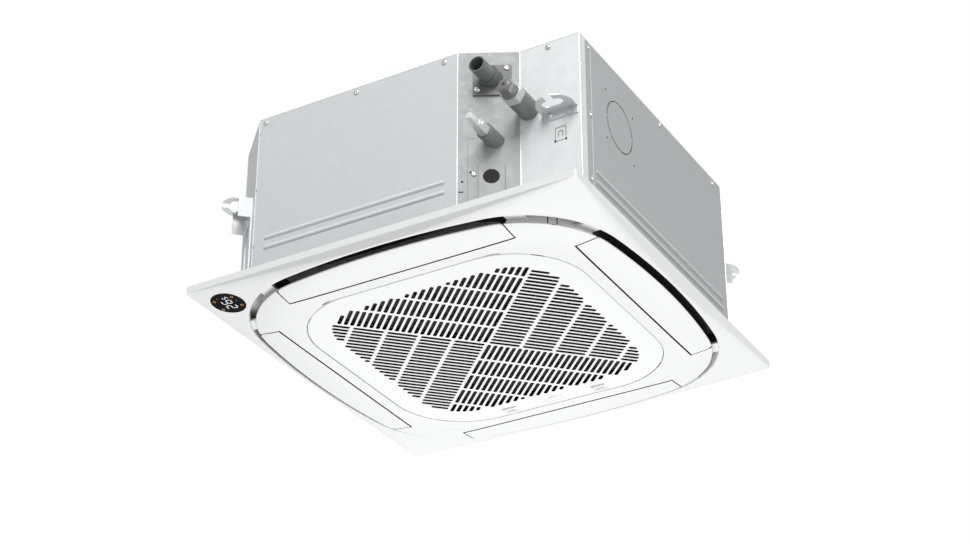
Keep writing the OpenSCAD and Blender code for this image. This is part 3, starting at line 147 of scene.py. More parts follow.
def make_zinc_spangle():
    """Zinc coated sheet: crystals some millimetres wide, each a little lighter or darker, with streaks along Z."""
    g, gin, gout = new_group(
        "zinc_spangle",
        [(COLOUR, "Tone", (0.7, 0.7, 0.7, 1)), (FLOAT, "Crystal size", 110.0), (FLOAT, "Contrast", 0.08),
         (FLOAT, "Gloss", 0.42)],
        FINISH_OUTPUTS,
    )
    link = g.links.new
    co = object_coordinates(g)
    warp = texture(g, "ShaderNodeTexNoise", co, Scale=60.0, Detail=2.0)
    bent = add(g, "ShaderNodeVectorMath", operation="MULTIPLY_ADD", in1=(0.012, 0.012, 0.012))
    link(warp.outputs["Color"], bent.inputs[0])
    link(co, bent.inputs[2])
    cells = texture(g, "ShaderNodeTexVoronoi", bent.outputs[0], feature="F1")
    link(gin.outputs["Crystal size"], cells.inputs["Scale"])
    split = add(g, "ShaderNodeSeparateColor")
    link(cells.outputs["Color"], split.inputs[0])
    rolled = add(g, "ShaderNodeMapping", Scale=(30.0, 30.0, 2.0))
    link(co, rolled.inputs["Vector"])
    streak = texture(g, "ShaderNodeTexNoise", rolled.outputs[0], Scale=4.0, Detail=4.0)
    cloud = texture(g, "ShaderNodeTexNoise", co, Scale=5.0, Detail=3.0)
    both = math_node(g, "ADD", split.outputs[0], streak.outputs["Fac"])
    three = math_node(g, "ADD", both, cloud.outputs["Fac"])
    link(varied(g, gin.outputs["Tone"], three, 1.5, gin.outputs["Contrast"]), gout.inputs["Colour"])
    link(math_node(g, "MULTIPLY_ADD", split.outputs[1], 0.12, gin.outputs["Gloss"]), gout.inputs["Roughness"])
    link(streak.outputs["Fac"], gout.inputs["Height"])
    return g


def make_closed_foam():
    """Closed cell foam: small rounded cells that darken at their edges."""
    g, gin, gout = new_group(
        "closed_foam",
        [(COLOUR, "Tone", (0.2, 0.2, 0.2, 1)), (FLOAT, "Cell size", 600.0)],
        FINISH_OUTPUTS,
    )
    link = g.links.new
    cells = texture(g, "ShaderNodeTexVoronoi", object_coordinates(g), feature="DISTANCE_TO_EDGE")
    link(gin.outputs["Cell size"], cells.inputs["Scale"])
    edge = cells.outputs["Distance"]
    link(scaled(g, gin.outputs["Tone"], map_range(g, edge, 0.0, 0.3, 0.72, 1.1)), gout.inputs["Colour"])
    link(map_range(g, edge, 0.0, 0.3, 0.95, 0.75), gout.inputs["Roughness"])
    link(edge, gout.inputs["Height"])
    return g


def make_turned_metal():
    """Drawn or turned metal: fine scratches across the axis and a slow tarnish."""
    g, gin, gout = new_group(
        "turned_metal",
        [(COLOUR, "Tone", (0.7, 0.7, 0.7, 1)), (COLOUR, "Tarnish", (0.5, 0.5, 0.5, 1)),
         (FLOAT, "Gloss", 0.25), (VECTOR, "Stretch", (40.0, 400.0, 40.0))],
        FINISH_OUTPUTS,
    )
    link = g.links.new
    co = object_coordinates(g)
    lines_at = add(g, "ShaderNodeVectorMath", operation="MULTIPLY")
    link(co, lines_at.inputs[0])
    link(gin.outputs["Stretch"], lines_at.inputs[1])
    lines = texture(g, "ShaderNodeTexNoise", lines_at.outputs[0], Scale=6.0, Detail=3.0)
    spots = texture(g, "ShaderNodeTexNoise", co, Scale=45.0, Detail=4.0)
    mix = add(g, "ShaderNodeMix", data_type="RGBA")
    link(map_range(g, spots.outputs["Fac"], 0.45, 0.75, 0.0, 0.6), mix.inputs["Factor"])
    link(gin.outputs["Tone"], mix.inputs[6])
    link(gin.outputs["Tarnish"], mix.inputs[7])
    link(mix.outputs[2], gout.inputs["Colour"])
    link(math_node(g, "MULTIPLY_ADD", lines.outputs["Fac"], 0.2, gin.outputs["Gloss"]), gout.inputs["Roughness"])
    link(lines.outputs["Fac"], gout.inputs["Height"])
    return g


def make_gap_shade():
    """A mask for the walls of narrow gaps: faces that stand upright, within a square band of the panel.

    It is 1 where |nz| is under a half and the larger of |x| and |y| lies between Near and Far, or where the
    smaller of the two lies between End near and End far while the larger is beyond Near.
    """
    g, gin, gout = new_group(
        "gap_shade",
        [(FLOAT, "Near", 0.0), (FLOAT, "Far", 0.188), (FLOAT, "End near", 9.0), (FLOAT, "End far", 9.1)],
        [(FLOAT, "Mask")],
    )
    coordinates = g.nodes.new("ShaderNodeTexCoord")
    at = g.nodes.new("ShaderNodeSeparateXYZ")
    facing = g.nodes.new("ShaderNodeSeparateXYZ")
    g.links.new(coordinates.outputs["Object"], at.inputs[0])
    g.links.new(coordinates.outputs["Normal"], facing.inputs[0])
    x = math_node(g, "ABSOLUTE", at.outputs[0], 0.0)
    y = math_node(g, "ABSOLUTE", at.outputs[1], 0.0)
    large, small = math_node(g, "MAXIMUM", x, y), math_node(g, "MINIMUM", x, y)
    beyond = math_node(g, "GREATER_THAN", large, gin.outputs["Near"])
    band = math_node(g, "MULTIPLY", beyond, math_node(g, "LESS_THAN", large, gin.outputs["Far"]))
    ends = math_node(g, "MULTIPLY", math_node(g, "GREATER_THAN", small, gin.outputs["End near"]),
                     math_node(g, "LESS_THAN", small, gin.outputs["End far"]))
    both = math_node(g, "MAXIMUM", band, math_node(g, "MULTIPLY", ends, beyond))
    upright = math_node(g, "LESS_THAN", math_node(g, "ABSOLUTE", facing.outputs[2], 0.0), 0.5)
    g.links.new(math_node(g, "MULTIPLY", both, upright), gout.inputs["Mask"])
    return g


# Finishes

GROUPS = {
    "gap": make_gap_shade(),
    "plastic": make_moulded_grain(),
    "zinc": make_zinc_spangle(),
    "foam": make_closed_foam(),
    "metal": make_turned_metal(),
}
materials = {}


def finish_material(name, group, values, bump=0.1, distance=0.0002, metallic=0.0, coat=0.0, specular=0.5):
    """A Principled material, kept in materials, whose colour, roughness and bump come from a shared group."""
    m = materials[name] = bpy.data.materials.new(name)
    m.use_nodes = True
    tree = m.node_tree
    shader = tree.nodes["Principled BSDF"]
    g = tree.nodes.new("ShaderNodeGroup")
    g.node_tree = GROUPS[group]
    for key, value in values.items():
        g.inputs[key].default_value = value
    b = add(tree, "ShaderNodeBump", Strength=bump, Distance=distance)
    tree.links.new(g.outputs["Height"], b.inputs["Height"])
    tree.links.new(b.outputs[0], shader.inputs["Normal"])
    tree.links.new(g.outputs["Colour"], shader.inputs["Base Color"])
    tree.links.new(g.outputs["Roughness"], shader.inputs["Roughness"])
    shader.inputs["Metallic"].default_value = metallic
    shader.inputs["Coat Weight"].default_value = coat
    shader.inputs["Specular IOR Level"].default_value = specular
    return m


def rgb(r, g=None, b=None):
    """A colour with full alpha; one number alone is a grey."""
    return (r, r if g is None else g, r if b is None else b, 1)


def plastic(name, tone, gloss=0.42, drift=0.03, grain=900.0, bump=0.06, coat=0.0, specular=0.5):
    """Moulded plastic."""
    values = {"Tone": tone, "Gloss": gloss, "Drift": drift, "Grain size": grain}
    return finish_material(name, "plastic", values, bump=bump, coat=coat, specular=specular)


def metal(name, tone, tarnish, gloss=0.25, stretch=(40.0, 400.0, 40.0), bump=0.05, metallic=1.0):
    """Drawn, turned or plated metal."""
    values = {"Tone": tone, "Tarnish": tarnish, "Gloss": gloss, "Stretch": stretch}
    return finish_material(name, "metal", values, bump=bump, metallic=metallic)


def zinc(name, tone, crystal, contrast, gloss, bump, metallic):
    """Zinc coated sheet."""
    values = {"Tone": tone, "Crystal size": crystal, "Contrast": contrast, "Gloss": gloss}
    return finish_material(name, "zinc", values, bump=bump, metallic=metallic)


def foam(name, tone, size, bump=0.4):
    """Closed cell foam."""
    return finish_material(name, "foam", {"Tone": tone, "Cell size": size}, bump=bump, distance=0.0004)


def lit(name, tone, strength):
    """A lit mark behind the window: a printed colour that also glows a little."""
    m = plastic(name, tone, 0.3, 0.1, 500.0, 0.0)
    shader = m.node_tree.nodes["Principled BSDF"]
    shader.inputs["Emission Color"].default_value = tone
    shader.inputs["Emission Strength"].default_value = strength
    return m


def shade_gaps(material, dark, **limits):
    """Darkens the walls of narrow gaps of a material, as the shade between them does; limits are in metres."""
    tree = material.node_tree
    colour = tree.nodes["Principled BSDF"].inputs["Base Color"]
    g = tree.nodes.new("ShaderNodeGroup")
    g.node_tree = GROUPS["gap"]
    for key, value in limits.items():
        g.inputs[key.replace("_", " ").capitalize()].default_value = value
    mix = add(tree, "ShaderNodeMix", data_type="RGBA")
    tree.links.new(g.outputs["Mask"], mix.inputs["Factor"])
    tree.links.new(colour.links[0].from_socket, mix.inputs[6])
    mix.inputs[7].default_value = rgb(dark)
    tree.links.new(mix.outputs[2], colour)
    return material


# The slots of the part's source come first, then the finishes that only this file uses
zinc("galvanised_sheet", rgb(0.62, 0.635, 0.64), 120.0, 0.025, 0.5, 0.01, 0.15)
zinc("lug_steel", rgb(0.7, 0.715, 0.72), 160.0, 0.05, 0.32, 0.02, 0.35)
metal("screw_steel", rgb(0.78, 0.78, 0.77), rgb(0.55, 0.55, 0.54), 0.18, (300.0, 300.0, 300.0))
foam("liner_foam", rgb(0.035, 0.035, 0.037), 500.0)
plastic("motor_can", rgb(0.05, 0.05, 0.055), 0.35, 0.1, 700.0, 0.15)
plastic("black_rubber", rgb(0.02, 0.02, 0.02), 0.6, 0.1, 1200.0, 0.1)
plastic("fan_plastic", rgb(0.6, 0.61, 0.6), 0.45, 0.05)
metal("coil_aluminium", rgb(0.7, 0.74, 0.78), rgb(0.5, 0.55, 0.6), 0.35, (900.0, 900.0, 4.0), 0.5)
metal("copper", rgb(0.72, 0.36, 0.22), rgb(0.42, 0.2, 0.13))
foam("pan_plastic", rgb(0.75, 0.75, 0.74), 350.0, 0.15)
plastic("black_plastic", rgb(0.035, 0.037, 0.04), 0.4, 0.15, 700.0, 0.2)
plastic("grey_plastic", rgb(0.16, 0.165, 0.17), 0.38, 0.08, 800.0, 0.08)
foam("sleeve_foam", rgb(0.25, 0.255, 0.255), 700.0, 0.3)
metal("plated_brass", rgb(0.62, 0.63, 0.625), rgb(0.52, 0.53, 0.52), 0.3, bump=0.02, metallic=0.35)
plastic("board_green", rgb(0.02, 0.12, 0.05), 0.3, 0.2)
plastic("panel_white", rgb(0.8, 0.805, 0.8), 0.36, 0.012, 1100.0, 0.05)
plastic("duct_grey", rgb(0.03, 0.03, 0.032), 0.55, 0.1, 700.0, 0.15)
metal("motor_steel", rgb(0.6), rgb(0.4), 0.3, (400.0, 40.0, 40.0))
plastic("filter_grey", rgb(0.025, 0.027, 0.03), 0.6, 0.2, 1400.0, 0.5)
plastic("display_black", rgb(0.006, 0.006, 0.007), 0.5, 0.1, 300.0, 0.0, specular=0.03)
# A lighter copy of the sheet: painted highlight on the folded edges and on the ribs' raised sides
zinc("fold_highlight_steel", rgb(0.85, 0.86, 0.86), 160.0, 0.03, 0.25, 0.01, 0.3)
zinc("seam_grey", rgb(0.22, 0.225, 0.225), 160.0, 0.05, 0.4, 0.02, 0.2)
# A lighter sheet for the wiring plates, and also the painted highlight of the strips beside the front right edge
zinc("fresh_sheet_and_highlight", rgb(0.78, 0.795, 0.795), 90.0, 0.03, 0.38, 0.015, 0.25)
# A darker copy of the sheet: painted shade on the piping and inspection plates
zinc("shaded_plate_sheet", rgb(0.38, 0.39, 0.39), 120.0, 0.02, 0.5, 0.01, 0.1)
# A darker copy of the sheet for the right side: painted shade on that side
zinc("shaded_side_sheet", rgb(0.42, 0.432, 0.432), 120.0, 0.02, 0.5, 0.01, 0.1)
plastic("hole_dark", rgb(0.012), 0.8, 0.2, 900.0, 0.1)
plastic("cap_grey", rgb(0.17, 0.172, 0.17), 0.3, 0.06, 700.0, 0.03, coat=0.3)
metal("bright_cap", rgb(0.8, 0.81, 0.8), rgb(0.7, 0.71, 0.7), 0.24, bump=0.02, metallic=0.3)
plastic("flange_grey", rgb(0.14, 0.143, 0.145), 0.45, 0.06, 700.0, 0.06)
plastic("shade_black", rgb(0.02, 0.021, 0.022), 0.7, 0.1, 900.0, 0.05)
# The grille's white is a lighter copy of the panel's, painted light; its slots' walls get painted shade
shade_gaps(plastic("grille_white", rgb(0.84, 0.845, 0.84), 0.36, 0.012, 1100.0, 0.05), 0.015, near=0.0, far=0.19)
shade_gaps(plastic("frame_white", rgb(0.8, 0.805, 0.8), 0.36, 0.012, 1100.0, 0.05), 0.03,
           near=0.2376, far=0.2387, end_near=0.1806, end_far=0.1818)
lit("lit_white", rgb(0.85, 0.87, 0.88), 0.35)
lit("lit_amber", rgb(0.75, 0.33, 0.04), 0.2)
plastic("dim_grey", rgb(0.12), 0.3, 0.1, 500.0, 0.0)

# Nodes that wear another finish than their slot's own
OWN_FINISH = {
    "wiring_plate": "fresh_sheet_and_highlight",
    "wiring_cover": "fresh_sheet_and_highlight",
    "wiring_knockout": "fresh_sheet_and_highlight",
    # Painted shade: the piping and inspection plates wear a darker copy of the sheet
    "inspection_plate": "shaded_plate_sheet",
    "piping_plate": "shaded_plate_sheet",
    # Painted shade: the right side wears a darker copy of the sheet
    "right_panel": "shaded_side_sheet",
    "drain_flange": "flange_grey",
    "intake_grille": "grille_white",
    "panel_frame": "frame_white",
}

for name, node in nodes.items():
    for s in node.material_slots:
        key = s.material.name.split(".")[0] if s.material else ""
        if name in OWN_FINISH or key in materials:
            s.material = materials[OWN_FINISH.get(name, key)]


# Mesh helpers

def grid_faces(n, m):
    """Quads of a grid of n rings of m points, the last point of each ring joined to its first."""
    a, b = np.meshgrid(np.arange(n - 1), np.arange(m), indexing="ij")
    d = (b + 1) % m
    return np.stack([a * m + b, (a + 1) * m + b, (a + 1) * m + d, a * m + d], -1).reshape(-1, 4).tolist()


def shell(rings, strips=False):
    """Points and faces of a closed skin: rings of points (n, m, 3) from one pole to the other.

    The mean of the first ring and of the last ring become single points, joined to their rings by fans.
    With strips set, each end ring is closed by quads between its first half and its second half instead.
    """
    n, m = rings.shape[:2]
    points, faces = rings.reshape(-1, 3), grid_faces(n, m)
    if strips:
        j = np.arange((m - 1) // 2)
        ends = np.stack([j, j + 1, m - 2 - j, m - 1 - j], -1)
        faces += [*ends[:, ::-1].tolist(), *(ends + (n - 1) * m).tolist()]
        return points, [list(dict.fromkeys(f)) for f in faces]
    points = np.concatenate([points, [rings[0].mean(0), rings[-1].mean(0)]])
    i = np.arange(m)
    j = (i + 1) % m
    first = np.stack([np.full(m, n * m), i, j], -1)
    last = np.stack([np.full(m, n * m + 1), (n - 1) * m + j, (n - 1) * m + i], -1)
    return points, [*faces, *first.tolist(), *last.tolist()]


def joined(parts):
    """One set of points and faces from several."""
    points, faces, start = [], [], 0
    for p, f in parts:
        points.append(p)
        faces += [[k + start for k in face] for face in f]
        start += len(p)
    return np.concatenate(points), faces


def placed(points, origin, x_axis, y_axis, z_axis):
    """Points in millimetres in a local frame, moved to the part's frame."""
    return np.asarray(origin) + points @ np.array([x_axis, y_axis, z_axis], float)


def make_piece(name, skin, finish, body="unit", smooth=True, instead=()):
    """A mesh object in metres from points and faces in millimetres, facing outwards, riding on a body."""
    points, faces = skin
    mesh = bpy.data.meshes.new(name)
    mesh.from_pydata((points * MM).tolist(), [], faces)
    bm = bmesh.new()
    bm.from_mesh(mesh)
    bmesh.ops.remove_doubles(bm, verts=bm.verts, dist=1e-7)
    bmesh.ops.recalc_face_normals(bm, faces=bm.faces)
    bm.to_mesh(mesh)
    bm.free()
    mesh.materials.append(materials[finish])
    mesh.polygons.foreach_set("use_smooth", [smooth] * len(mesh.polygons))
    obj = bpy.data.objects.new(name, mesh)
    bpy.context.scene.collection.objects.link(obj)
    if smooth:
        mesh.set_sharp_from_angle(angle=math.radians(32))
    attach(obj, body)
    for node in instead:
        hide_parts(node)
    return obj


# Sizes in millimetres: those of the casing, as in the part's source

HALF = 287.5  # half its width
TOP = 263.0
CHAMFER = 215.0  # from the middle to where the corners are cut off
STEP_Y = -247.3  # the front beyond the slanted piping plate
RECESS_X = 118.9  # where that plate leaves the front
TURN = math.atan2(40.2, 75.7)
ALONG = np.array([math.cos(TURN), math.sin(TURN), 0])
OUT = np.array([math.sin(TURN), -math.cos(TURN), 0])
UP = np.array([0, 0, 1.0])
FRONT, RIGHT, BACK, LEFT = (0, -1, 0), (1, 0, 0), (0, 1, 0), (-1, 0, 0)

# Those of the panel: the rim as in the part's source, the louvres and the frame's edge as in the photograph

RIM_HALF = 310
OPENING = 300.3  # from the middle to the bowed edge of the rim's opening
SIDE_R = 1140.0  # radius of its sides
CORNER_R = 158.0  # radius of its corners
CORNER_AT = 133.2  # x and y of their centres
LOWEST = -29.4
EDGE_GAP = 10.8  # from the opening's edge in to that of the frame and the louvres
EDGE_RISE = 4.4  # how much higher than LOWEST the underside lies at that edge
EDGE_W = 50.0  # and how far in it has come down
LOUVRE_IN = 241.0  # from the middle to a louvre's inner edge
LOUVRE_HALF = 179.4
WINDOW_HALF = 181.2  # half the length of the frame's window for a louvre
FRAME_EDGE = 238.15  # from the middle to that window's inner edge


def on_plate(s, z, out=0.0):
    """A point of the slanted piping plate, s along it from its left edge and z up, raised off it by out."""
    return np.array([RECESS_X, -HALF, 0]) + s * ALONG + z * UP + out * OUT


def line(p, q, steps=6):
    """Points at equal steps on the straight line from p to q."""
    w = np.linspace(0, 1, steps)[:, None]
    return np.asarray(p, float) * (1 - w) + np.asarray(q, float) * w


def disc(r, squash=1.0):
    """A circle of radius r, or an ellipse whose height is squash times its width."""
    t = np.linspace(0, 2 * np.pi, 32, endpoint=False)
    return np.stack([r * np.cos(t), r * squash * np.sin(t)], -1)


def box_outline(w, h):
    """The corners of a rectangle w wide and h high about its middle."""
    return np.array([[-w, -h], [w, -h], [w, h], [-w, h]]) / 2


def bead(path, radius, sides=10):
    """A round bead: circles of one radius square to the mean direction at each point of an open path."""
    p = np.asarray(path, float)
    d = np.gradient(p, axis=0)
    d /= np.linalg.norm(d, axis=1)[:, None]
    ref = np.where(np.abs(d[:, 2:3]) > 0.9, [[1.0, 0, 0]], [[0, 0, 1.0]])
    a = np.cross(d, ref)
    a /= np.linalg.norm(a, axis=1)[:, None]
    b = np.cross(d, a)
    t = np.linspace(0, 2 * np.pi, sides, endpoint=False)
    rings = p[:, None] + radius * (np.cos(t)[None, :, None] * a[:, None] + np.sin(t)[None, :, None] * b[:, None])
    return shell(rings)


def ribbon(path, width, normal, lift):
    """A flat strip along a path: half the width to each side of it, its inner four fifths raised by lift."""
    p = np.asarray(path, float)
    n = np.asarray(normal, float)
    d = np.gradient(p, axis=0)
    d /= np.linalg.norm(d, axis=1)[:, None]
    side = np.cross(n, d) * width / 2
    return shell(np.stack([p - side, p - side * 0.8 + n * lift, p + side * 0.8 + n * lift, p + side], 1))


def plug(outline, origin, x_axis, y_axis, z_axis, height):
    """A flat plug with the given outline (n, 2) at the origin, raised by height along its third axis."""
    o = np.asarray(outline, float)
    mid = o.mean(0)
    rings = np.stack([np.concatenate([mid + (o - mid) * scale, np.full((len(o), 1), z)], 1)
                      for scale, z in ((0.01, 0), (1, 0), (1, height), (0.01, height))])
    points, faces = shell(rings)
    return placed(points, origin, x_axis, y_axis, z_axis), faces


# Screws

def screw_head(radius=4.2, height=2.2):
    """A pan head with a cross recess, in rings about +Z.

    With r, x and y as shares of the head's radius, the height is H (1 - 0.55 r^4). Within the cross, where the
    smaller of |x| and |y| is under 0.17 and the larger under 0.6, it drops by 0.55 H (1 - the larger).
    """
    r = np.array([0.01, 0.08, 0.16, 0.2, 0.32, 0.45, 0.56, 0.62, 0.75, 0.88, 0.97, 1.0])
    t = np.linspace(0, 2 * np.pi, 48, endpoint=False)
    rr, tt = np.meshgrid(r, t, indexing="ij")
    x, y = rr * np.cos(tt), rr * np.sin(tt)
    small, large = np.minimum(abs(x), abs(y)), np.maximum(abs(x), abs(y))
    cross = (small < 0.17) & (large < 0.6)
    z = height * (1 - 0.55 * rr ** 4) - cross * height * 0.55 * (1 - large)
    top = np.stack([x * radius, y * radius, z], -1)
    foot = np.stack([radius * np.cos(t), radius * np.sin(t), np.zeros(48)], -1)[None]
    return shell(np.concatenate([top, foot, foot * [0.01, 0.01, 1]]))


def build_casing_screws():
    """Pan heads on the sheets: a row under the top edge on each side, then those of the plates and chamfers.

    Each head is turned 1.3 radians further than the one before, so that the crosses don't line up.
    """
    row = TOP - 8
    at = [((x, -HALF, row), FRONT) for x in (-204, -48.5, 96.8)]
    at += [((239.1, STEP_Y, row), FRONT)]
    at += [((HALF, y, row), RIGHT) for y in (-221.9, 1.6, 184.1)]
    at += [((HALF, STEP_Y + 25.8, z), RIGHT) for z in (143.9, 41.4)]
    at += [((x, HALF, row), BACK) for x in (-193.5, 0, 193.5)]
    at += [((-HALF, y, row), LEFT) for y in (-193.5, 0, 193.5)]
    at += [((x, STEP_Y - 3.2, 137.0), FRONT) for x in (241.9, 271.6)]
    at += [(on_plate(22.4, 64.2), OUT)]
    at += [(on_plate(s, z, 3.0), OUT) for s, z in ((26.5, 199), (67.6, 234.3))]
    to_chamfer = (HALF + CHAMFER) / math.sqrt(2) + 2
    for a in (math.radians(135), math.radians(225), math.radians(315)):
        n = np.array([math.sin(a), -math.cos(a), 0])
        along = np.array([math.cos(a), math.sin(a), 0])
        at += [(n * to_chamfer + along * way + UP * 127.5, n) for way in (-13.5, 13.5)]
    points, faces = screw_head()
    parts = []
    for i, (place, normal) in enumerate(at):
        across = np.cross(UP, normal)
        c, q = math.cos(1.3 * i), math.sin(1.3 * i)
        parts.append((placed(points, place, c * across + q * UP, c * UP - q * across, normal), faces))
    make_piece("casing_screw_heads", joined(parts), "screw_steel", instead=["casing_screws"])


# Pipe ends

AROUND = np.linspace(0, 2 * np.pi, 144, endpoint=False)
TO_FLAT = np.cos((AROUND % (math.pi / 3)) - math.pi / 6)


def about_z(r, z):
    """A skin about +Z from its radii, (n, 144) or (n, 1), at the heights z (n)."""
    r = np.broadcast_to(r, (len(z), len(AROUND)))
    return shell(np.stack([r * np.cos(AROUND), r * np.sin(AROUND), np.repeat(z[:, None], len(AROUND), 1)], -1))


def flare_nut(half_flats, length, bore):
    """A hexagon nut along +Z with its corners taken off at both ends by a 30 degree cone.

    Its radius is the smaller of the hexagon's and the cone's, which starts at 0.97 of the half width over the
    flats. The first and the last ring lie on the bore.
    """
    rise = np.array([0, 0, 0.35, 0.8, 1.4, 2.2])
    z = np.concatenate([rise, [length / 2], length - rise[::-1]])
    cone = half_flats * 0.97 + np.minimum(z, length - z) / math.tan(math.radians(30))
    r = np.minimum((half_flats / TO_FLAT)[None], cone[:, None])
    r[0] = r[-1] = bore
    return about_z(r, z)


def gas_cap():
    """A moulded cap along +Z: a profile of radii with a dimple in its end, made six-sided along its height.

    The share of the hexagon grows from 0 at 0.05 of the height to 0.85 at 0.25, and falls to 0 from 0.84 to 1.
    """
    u = np.array([0, 0.0, 0.12, 0.3, 0.5, 0.68, 0.8, 0.88, 0.94, 0.98, 1.0, 1.0, 0.9, 0.9])
    size = np.array([0.4, 13.4, 13.35, 13.0, 12.4, 11.7, 11.1, 10.3, 9.0, 7.2, 5.4, 2.5, 2.2, 0.05])
    facet = np.clip((u - 0.05) / 0.2, 0, 1) * np.clip((1.0 - u) / 0.16, 0, 1)
    hexagon = math.cos(math.pi / 6) / TO_FLAT / 0.93
    return about_z(size[:, None] * (1 + (facet[:, None] * (hexagon[None] - 1)) * 0.85), u * 19)


def liquid_cap():
    """A turned cap along +Z: its profile of radii has two collars, a waist between them and a blunt end."""
    z = np.array([0, 0, 3.2, 3.6, 4.0, 9.5, 10.0, 10.4, 15.5, 16.0, 16.4, 22.6, 23.4, 23.9, 24.0, 24.0])
    size = np.array([0.05, 5.7, 5.7, 5.1, 5.1, 5.1, 5.3, 5.7, 5.7, 5.3, 5.0, 5.0, 4.8, 4.2, 3.4, 0.05])
    return about_z(size[:, None], z)


def build_pipe_ends():
    """The nut and the cap of both pipes, along -Y and out of the casing, each cap on its nut's outer face."""
    gas_x, gas_y, gas_z, gas_nut = 208.8, STEP_Y - 40, 159.8, 14
    liquid_x, liquid_y, liquid_z, liquid_nut = RECESS_X + 50.8 * math.cos(TURN), -292.0, 116.6, 19
    for name, (points, faces), at, finish, node in (
        ("gas_flare_nut", flare_nut(14.5, gas_nut, 7.9), (gas_x, gas_y, gas_z), "plated_brass", "gas_nut"),
        ("gas_blanking_cap", gas_cap(), (gas_x, gas_y - gas_nut, gas_z), "cap_grey", "gas_cap"),
        ("liquid_flare_nut", flare_nut(8.5, liquid_nut, 3.2), (liquid_x, liquid_y, liquid_z), "plated_brass",
         "liquid_nut"),
        ("liquid_blanking_cap", liquid_cap(), (liquid_x, liquid_y - liquid_nut, liquid_z), "bright_cap",
         "liquid_cap"),
    ):
        make_piece(name, (placed(points, at, (1, 0, 0), UP, FRONT), faces), finish, instead=[node])


# Folded edges of the sheets, and the seams, marks and punched places on them

def build_folds():
    """Round beads down the nine upright folds of the casing and round its top edge, in a lighter steel: a painted
    highlight along each fold.
    """
    corners = [(-CHAMFER, -HALF), (RECESS_X, -HALF), (194.6, STEP_Y), (HALF, STEP_Y), (HALF, CHAMFER),
               (CHAMFER, HALF), (-CHAMFER, HALF), (-HALF, CHAMFER), (-HALF, -CHAMFER)]
    parts = [bead(line((x, y, 3.2), (x, y, TOP - 0.3)), 0.85) for x, y in corners]
    for (x0, y0), (x1, y1) in zip(corners, corners[1:] + corners[:1]):
        parts.append(bead(line((x0, y0, TOP - 0.4), (x1, y1, TOP - 0.4)), 0.45))
    make_piece("casing_fold_highlights", joined(parts), "fold_highlight_steel")


def build_seams():
    """Dark strips where sheets meet on the piping plate, along paths of points (s, z) on it."""
    parts = [ribbon([on_plate(s, z) for s, z in path], 0.9, OUT, 0.2) for path in (
        ((13.8, 3.2), (13.8, 60), (13.8, 120.6)),
        ((13.8, 120.6), (20, 120.6), (27, 120.6)),
        ((71, 120.6), (76.5, 121.5), (79.0, 126), (80.3, 140), (80.3, 157)),
    )]
    for s in (28.5, 64.5):
        parts.append(ribbon([on_plate(s, z, 1.0) for z in (3.2, 40, 78.3)], 0.8, OUT, 0.2))
    make_piece("sheet_seams", joined(parts), "seam_grey", smooth=False)


def build_bright_lines():
    """Painted highlights: lighter beads on the raised sides of the stamped ribs, and lighter strips beside the
    front right edge.

    Along each rib runs a bead of radius 3.3 whose middle lies 1.1 behind the sheet's face.
    """
    radius, inward, upward = 3.3, 1.1, 0.9
    ribs = (((-193, -HALF), (96.9, -HALF)), ((HALF, -205.7), (HALF, 193)),
            ((193, HALF), (-193, HALF)), ((-HALF, 193), (-HALF, -193)))
    parts = []
    for z in (57.5, 41.6):
        for a, b in ribs:
            a, b = np.array([*a, z + upward]), np.array([*b, z + upward])
            into = np.cross(UP, (b - a) / np.linalg.norm(b - a)) * inward
            parts.append(bead(line(a + into, b + into), radius, 20))
    make_piece("stamped_highlights", joined(parts), "fold_highlight_steel")
    # Lighter strips: a painted highlight beside the front right edge
    strips = [ribbon([(HALF, y, z) for z in (3.2, 130, 262)], 1.5, RIGHT, 0.15) for y in (-233.4, -215.0)]
    make_piece("strip_edge_highlights", joined(strips), "fresh_sheet_and_highlight", smooth=False)


def build_punched_marks():
    """Flat dark plugs for small punched places, and four arcs of a circle for the knock-out on the right side."""
    parts = [plug(outline, place, ALONG, UP, OUT, height) for outline, place, height in (
        (disc(1.9), on_plate(18.5, 66.5), 0.12),
        ([[-2.2, -1.6], [2.2, -1.6], [0, 2.2]], on_plate(6.7, 52), 0.12),
        (box_outline(6.5, 1.7), on_plate(5, 35.5), 0.12),
        (disc(10.9), on_plate(46, 59.5, -0.2), 0.1),
    )]
    for z in (237, 142, 48):
        parts.append(plug(box_outline(1.6, 4.2), (-214.2, -HALF, z), (1, 0, 0), UP, FRONT, 0.1))
    y, z, r = -131.2, 172.8, 38.4
    for start in (3, 93, 183, 273):
        a = np.radians(np.linspace(start, start + 84, 30))
        path = np.stack([np.full(30, HALF), y + r * np.cos(a), z + r * np.sin(a)], -1)
        parts.append(ribbon(path, 1.1, RIGHT, 0.1))
    for x in (248.2, 264.6):
        parts.append(plug(box_outline(2.4, 3.0), (x, STEP_Y - 0.9, 96.4), (1, 0, 0), UP, FRONT, 0.4))
    make_piece("punched_holes", joined(parts), "hole_dark", smooth=False)


def build_knockout_mark():
    """Beads for a pressed rectangle, 16 by 21, and a small arch in it, on the cable knock-out."""
    x, y, z = 256.4, STEP_Y - 0.8, 106.5
    arch = [(x - 3.2, y, z - 4)]
    arch += [(x - 3.2 * math.cos(a), y, z + 1.5 + 3.4 * math.sin(a)) for a in np.linspace(0, np.pi, 9)]
    arch += [(x + 3.2, y, z - 4)]
    parts = [bead(arch, 0.7)]
    ring = [(x - 8, y, z - 10.5), (x + 8, y, z - 10.5), (x + 8, y, z + 10.5), (x - 8, y, z + 10.5)]
    for p, q in zip(ring, ring[1:] + ring[:1]):
        parts.append(bead(line(p, q), 0.5))
    make_piece("knockout_mark", joined(parts), "seam_grey")


# Display

# The lit bars of each figure shown: a to f run round it from the top, clockwise, and g is the middle one
SEGMENTS = {"2": "abged", "5": "afgcd", "6": "afgecd"}


